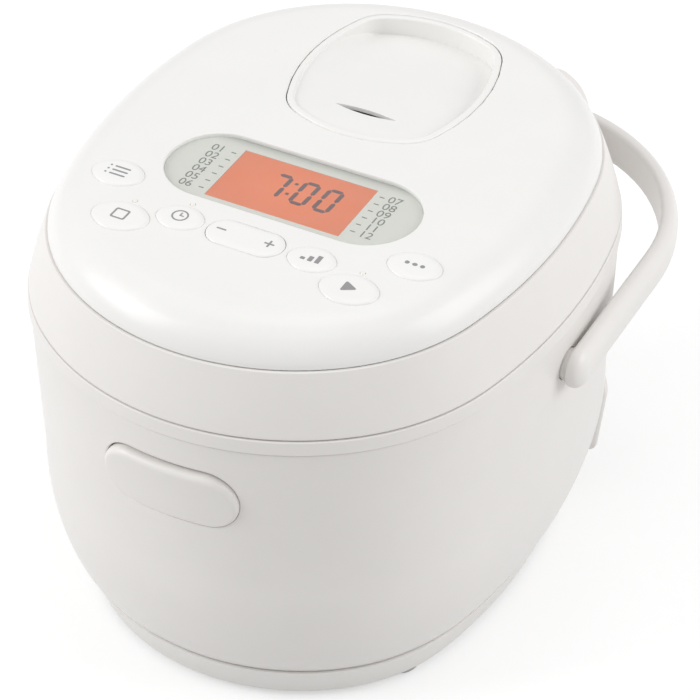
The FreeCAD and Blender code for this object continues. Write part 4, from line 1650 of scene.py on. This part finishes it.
        def bars(left: float, names: str) -> None:
            """Lit bars of one digit.

            Args:
                left: The digit's left side.
                names: The bars' letters, clockwise from the top one.
            """
            half = height / 2
            ends = {"a": ((0, 0), (width, 0)), "b": ((width, 0), (width, half)),
                    "c": ((width, half), (width, height)), "d": ((0, height), (width, height)),
                    "e": ((0, half), (0, height)), "f": ((0, 0), (0, half))}
            for name in names:
                first, last = Vector(ends[name][0]), Vector(ends[name][1])
                way = (last - first).normalized()
                cross = Vector((-way.y, way.x)) * bar / 2
                a, b = first + way * gap, last - way * gap
                tip = way * bar / 2
                loop = [a, a + tip - cross, b - tip - cross, b, b - tip + cross, a + tip + cross]
                self.stamp(form, [(left + p.x - lean * p.y, top - p.y) for p in loop], (), low, high)

        bars(-10.2, "abc")
        bars(2.6, "abcdef")
        bars(13.55, "abcdef")
        for x, y in ((-0.8, -37.3), (-1.2, -45.0)):
            loop = soft_box(x - dot, x + dot, y - dot, y + dot, 0.2).points(0.0, 45.0)
            self.stamp(form, loop, (), low, high)
        form.build("clock_digits", "lid", Palette.DIGIT, slot="component_dark")

    def numbers(self) -> None:
        """Plain numbers beside the display, with a small tick at each."""
        form = Form()
        low, high, rows = self.plate_top, self.plate_top + 0.04, 6
        for start, x, tick, first, last in ((1, -42.0, -34.6, -30.0, -57.4), (7, 40.6, 34.6, -29.4, -55.4)):
            for k in range(rows):
                y = first + (last - first) * k / (rows - 1)
                self.numeral(form, f"{start + k:02d}", x, y, low, high)
                self.stamp(form, stadium(tick, y, 1.2, 0.3).points(0.0, 45.0), (), low, high)
        form.build("column_numbers", "lid", Palette.PRINT, slot="legend_grey")

    @staticmethod
    def numeral(form: Form, text: str, x: float, y: float, low: float, high: float) -> None:
        """Add one plain number, centred at a place.

        Args:
            form: The form to add to.
            text: The number's digits.
            x: Place across.
            y: Place along.
            low: Height of its foot.
            high: Height of its top.
        """
        curve = bpy.data.curves.new("numeral", "FONT")
        curve.body = text
        curve.size = 6.2
        curve.align_x = "CENTER"
        curve.align_y = "CENTER"
        curve.extrude = (high - low) / 2
        holder = bpy.data.objects.new("numeral", curve)
        mesh = bpy.data.meshes.new_from_object(holder)
        form.absorb(mesh, lambda p: Vector((x + p.x, y + p.y, (low + high) / 2 + p.z)))
        bpy.data.objects.remove(holder)
        bpy.data.curves.remove(curve)
        bpy.data.meshes.remove(mesh)


@dataclass
class Latch:
    """Release button with its hook, pin and spring."""

    z: float = 124.1
    half: Point = (31.0, 14.1)
    back: float = -144.5
    lean: tuple[float, float, float, float] = (105.0, 1.8, 142.0, -3.2)

    def build(self) -> None:
        """Make and dress every piece."""
        self.button()
        dress(Palette.MATTE, "latch_hook")
        dress(Palette.SCREW, "latch_pin")
        dress(Palette.SPRING, "latch_spring")

    def face(self, x: float, z: float) -> float:
        """How far forward the button's face is at a place.

        Args:
            x: Place across.
            z: Height.

        Returns:
            The face's place along.
        """
        z0, i0, z1, i1 = self.lean
        _, cy, radius, _, _ = EGG.sectors[0]
        reach = radius - (i0 + (i1 - i0) * (z - z0) / (z1 - z0))
        return cy - math.sqrt(reach ** 2 - x ** 2)

    def button(self) -> None:
        """Stadium-shaped button whose top edge stands proud and is broadly rounded."""
        form = Form()
        outline = stadium(0.0, self.z, *self.half)
        base = outline.points(0.0, *FINE)
        rows = [form.row((x, self.back, z) for x, z in base)]
        tight, more, below, rise = 1.1, 1.5, 6.0, 18.0
        rounds = [tight + more * max(0.0, min(1.0, (z - self.z + below) / rise)) for _, z in base]
        for c, s in quarter(7):
            grown = {}
            spots = []
            for i, soft in enumerate(rounds):
                key = round(soft * (1 - c), 4)
                if key not in grown:
                    grown[key] = outline.points(-key, *FINE)
                x, z = grown[key][i]
                spots.append((x, self.face(x, z) + soft * (1 - s), z))
            rows.append(form.row(spots))
        form.bands(rows)
        flat_in, clear = 4.5, 6.0
        inner = outline.points(-flat_in, *FINE)
        ring = form.row((x, self.face(x, z), z) for x, z in inner)
        form.band(rows[-1], ring)
        loose = [(x, self.z + dz) for x in range(-24, 25, 4) for dz in (-6.0, 0.0, 6.0)]
        free = inside(np.array(loose), outline.points(-clear, *FINE))
        fill_in = [p for p, wanted in zip(loose, free) if wanted]
        form.fill((ring, inner), [], (form.row((x, self.face(x, z), z) for x, z in fill_in), fill_in))
        form.fill((rows[0], base))
        form.build("release_pad", "release", Palette.GLOSS, "release_button")


@dataclass
class CarryHandle:
    """Bow handle with flat inner and rounded outer side, and its pivots."""

    x: float = 119.9
    y: float = -13.0
    z: float = 134.0
    thick: float = 8.0
    height: float = 18.5
    straight: float = 62.5
    bend: float = 88.2

    def build(self) -> None:
        """Make and dress every piece."""
        form = Form()
        self.bow(form)
        self.pivots(form)
        form.build("bow_handle", "carry_handle", Palette.GLOSS, "handle")
        dress(Palette.SPRING, "handle_clips")

    def path(self, along: float, out: float) -> Point:
        """Place in plan at a length from the bow's middle, moved outwards.

        Args:
            along: Length from the middle, left side negative.
            out: Distance outwards.

        Returns:
            The place.
        """
        side, left = math.copysign(1.0, along), abs(along)
        cx = self.x - self.bend
        quarter_turn = self.bend * math.pi / 2
        if left <= cx:
            return side * left, self.straight + self.bend + out
        if left <= cx + quarter_turn:
            turn = (left - cx) / self.bend
            reach = self.bend + out
            return side * (cx + reach * math.sin(turn)), self.straight + reach * math.cos(turn)
        return side * (self.x + out), self.straight - (left - cx - quarter_turn)

    def bow(self, form: Form) -> None:
        """Band bent round the cooker, with round ends.

        Args:
            form: The form to add to.
        """
        half = self.height / 2
        reach = self.x - self.bend + self.bend * math.pi / 2 + self.straight - self.y
        outline = stadium(0.0, 0.0, reach + half, half)
        t = self.thick / 2
        inner_soft, outer_soft, outer_depth = 2.0, 7.6, 5.0
        section = [(inner_soft * (1 - s), -t + inner_soft * (1 - c)) for c, s in quarter(4)]
        section += [(outer_soft * (1 - c), t - outer_depth + outer_depth * s) for c, s in quarter(8)]

        def wrap(inset: float, out: float) -> Row:
            """Row of the band's outline, wrapped round its path."""
            return form.row((*self.path(s, out), self.z + h) for s, h in outline.points(-inset, *BOW_STEPS))

        rows = [wrap(inset, out) for inset, out in section]
        form.bands(rows)
        for row, (inset, _) in ((rows[0], section[0]), (rows[-1], section[-1])):
            form.fill((row, outline.points(-inset, *BOW_STEPS)))

    def pivots(self, form: Form) -> None:
        """Round bosses between the band and the body.

        Args:
            form: The form to add to.
        """
        near, far = 106.0, 116.2
        profile = [(6.6, near), (7.0, 106.6), (7.0, 114.6), (7.6, 115.4), (8.4, far)]
        turns = [math.radians(10.0 * k) for k in range(36)]
        for side in (-1.0, 1.0):
            rows = [form.row((side * x, self.y + radius * math.cos(a), self.z + radius * math.sin(a))
                             for a in turns) for radius, x in profile]
            form.bands(rows)
            form.fan(rows[0], (side * near, self.y, self.z))
            form.fan(rows[-1], (side * far, self.y, self.z))


@dataclass
class Hinge:
    """Hump behind the lid with the hinge pin and spring."""

    def build(self) -> None:
        """Dress the carried-over pieces."""
        dress(Palette.GLOSS, "hinge_housing")
        dress(Palette.SCREW, "hinge_pin")
        dress(Palette.SPRING, "hinge_spring")


@dataclass
class Studio:
    """Pale floor, soft light and the camera."""

    camera_at: tuple[float, float, float] = (0.4861, -0.9156, 0.9254)
    target: tuple[float, float, float] = (0.0139, -0.0182, 0.1072)
    lens: float = 154.38
    sky: float = 0.62
    floor_size: float = 12.0
    floor_glow: float = 0.45
    floor_tone: float = 0.62
    # Name, place, width and power of each light.
    lights: tuple[tuple[str, tuple[float, float, float], float, float], ...] = (
        ("left_light", (-1.9, -1.3, 1.5), 1.5, 32.0),
        ("right_light", (2.0, 0.6, 1.3), 1.5, 21.0),
        ("top_light", (0.1, 0.3, 2.2), 1.2, 3.6),
    )

    def build(self) -> None:
        """Set the stage."""
        scene = bpy.context.scene
        scene.view_settings.view_transform = "Standard"
        self.world(scene)
        self.floor(scene)
        for light in self.lights:
            self.lamp(scene, *light)
        self.camera(scene)

    def world(self, scene: bpy.types.Scene) -> None:
        """Even pale light from all round.

        Args:
            scene: The scene to add to.
        """
        scene.world = bpy.data.worlds.new("studio")
        scene.world.use_nodes = True
        sky = scene.world.node_tree.nodes["Background"]
        sky.inputs["Color"].default_value = WHITE
        sky.inputs["Strength"].default_value = self.sky

    def floor(self, scene: bpy.types.Scene) -> None:
        """White floor that keeps the object's shadow.

        Args:
            scene: The scene to add to.
        """
        recipe = Recipe("floor")
        seen = recipe.node("LightPath", output="Is Camera Ray")
        rays = seen.socket.node.outputs
        seen = seen + Sock(recipe, rays["Is Glossy Ray"]) + Sock(recipe, rays["Is Transmission Ray"])
        plain = recipe.node("BsdfDiffuse", {}, {"Color": (*[self.floor_tone] * 3, 1.0)})
        glow = recipe.node("Emission", {}, {"Color": WHITE, "Strength": self.floor_glow})
        lit = recipe.node("AddShader", {}, {0: plain, 1: glow})
        shown = recipe.node("MixShader", {}, {0: seen, 1: plain, 2: lit})
        recipe.node("OutputMaterial", {}, {"Surface": shown})
        half = self.floor_size / 2
        mesh = bpy.data.meshes.new("floor")
        corners = [(-half, -half, 0), (half, -half, 0), (half, half, 0), (-half, half, 0)]
        mesh.from_pydata(corners, [], [(0, 1, 2, 3)])
        mesh.materials.append(recipe.material)
        plane = bpy.data.objects.new("floor", mesh)
        scene.collection.objects.link(plane)

    def lamp(self, scene: bpy.types.Scene, name: str, at: Sequence[float], size: float, power: float) -> None:
        """Square soft light aimed at the object.

        Args:
            scene: The scene to add to.
            name: The light's name.
            at: Its place.
            size: Its width.
            power: Its power in watts.
        """
        data = bpy.data.lights.new(name, "AREA")
        data.size = size
        data.energy = power
        lamp = bpy.data.objects.new(name, data)
        lamp.location = at
        lamp.rotation_euler = (Vector(self.target) - Vector(at)).to_track_quat("-Z", "Y").to_euler()
        scene.collection.objects.link(lamp)

    def camera(self, scene: bpy.types.Scene) -> None:
        """Camera at the photograph's viewing angle.

        Args:
            scene: The scene to add to.
        """
        data = bpy.data.cameras.new("camera")
        data.lens = self.lens
        camera = bpy.data.objects.new("camera", data)
        camera.location = self.camera_at
        camera.rotation_euler = (Vector(self.target) - camera.location).to_track_quat("-Z", "Y").to_euler()
        scene.collection.objects.link(camera)
        scene.camera = camera


def main() -> None:
    """Build the object and its stage."""
    logging.basicConfig(level=logging.INFO, format="%(message)s")
    for part in (Housing(), CookingUnit(), Lid(), SteamVent(), Controls(), Latch(), CarryHandle(), Hinge()):
        LOG.info("building %s", type(part).__name__)
        part.build()
    Studio().build()


if __name__ == "__main__":
    main()
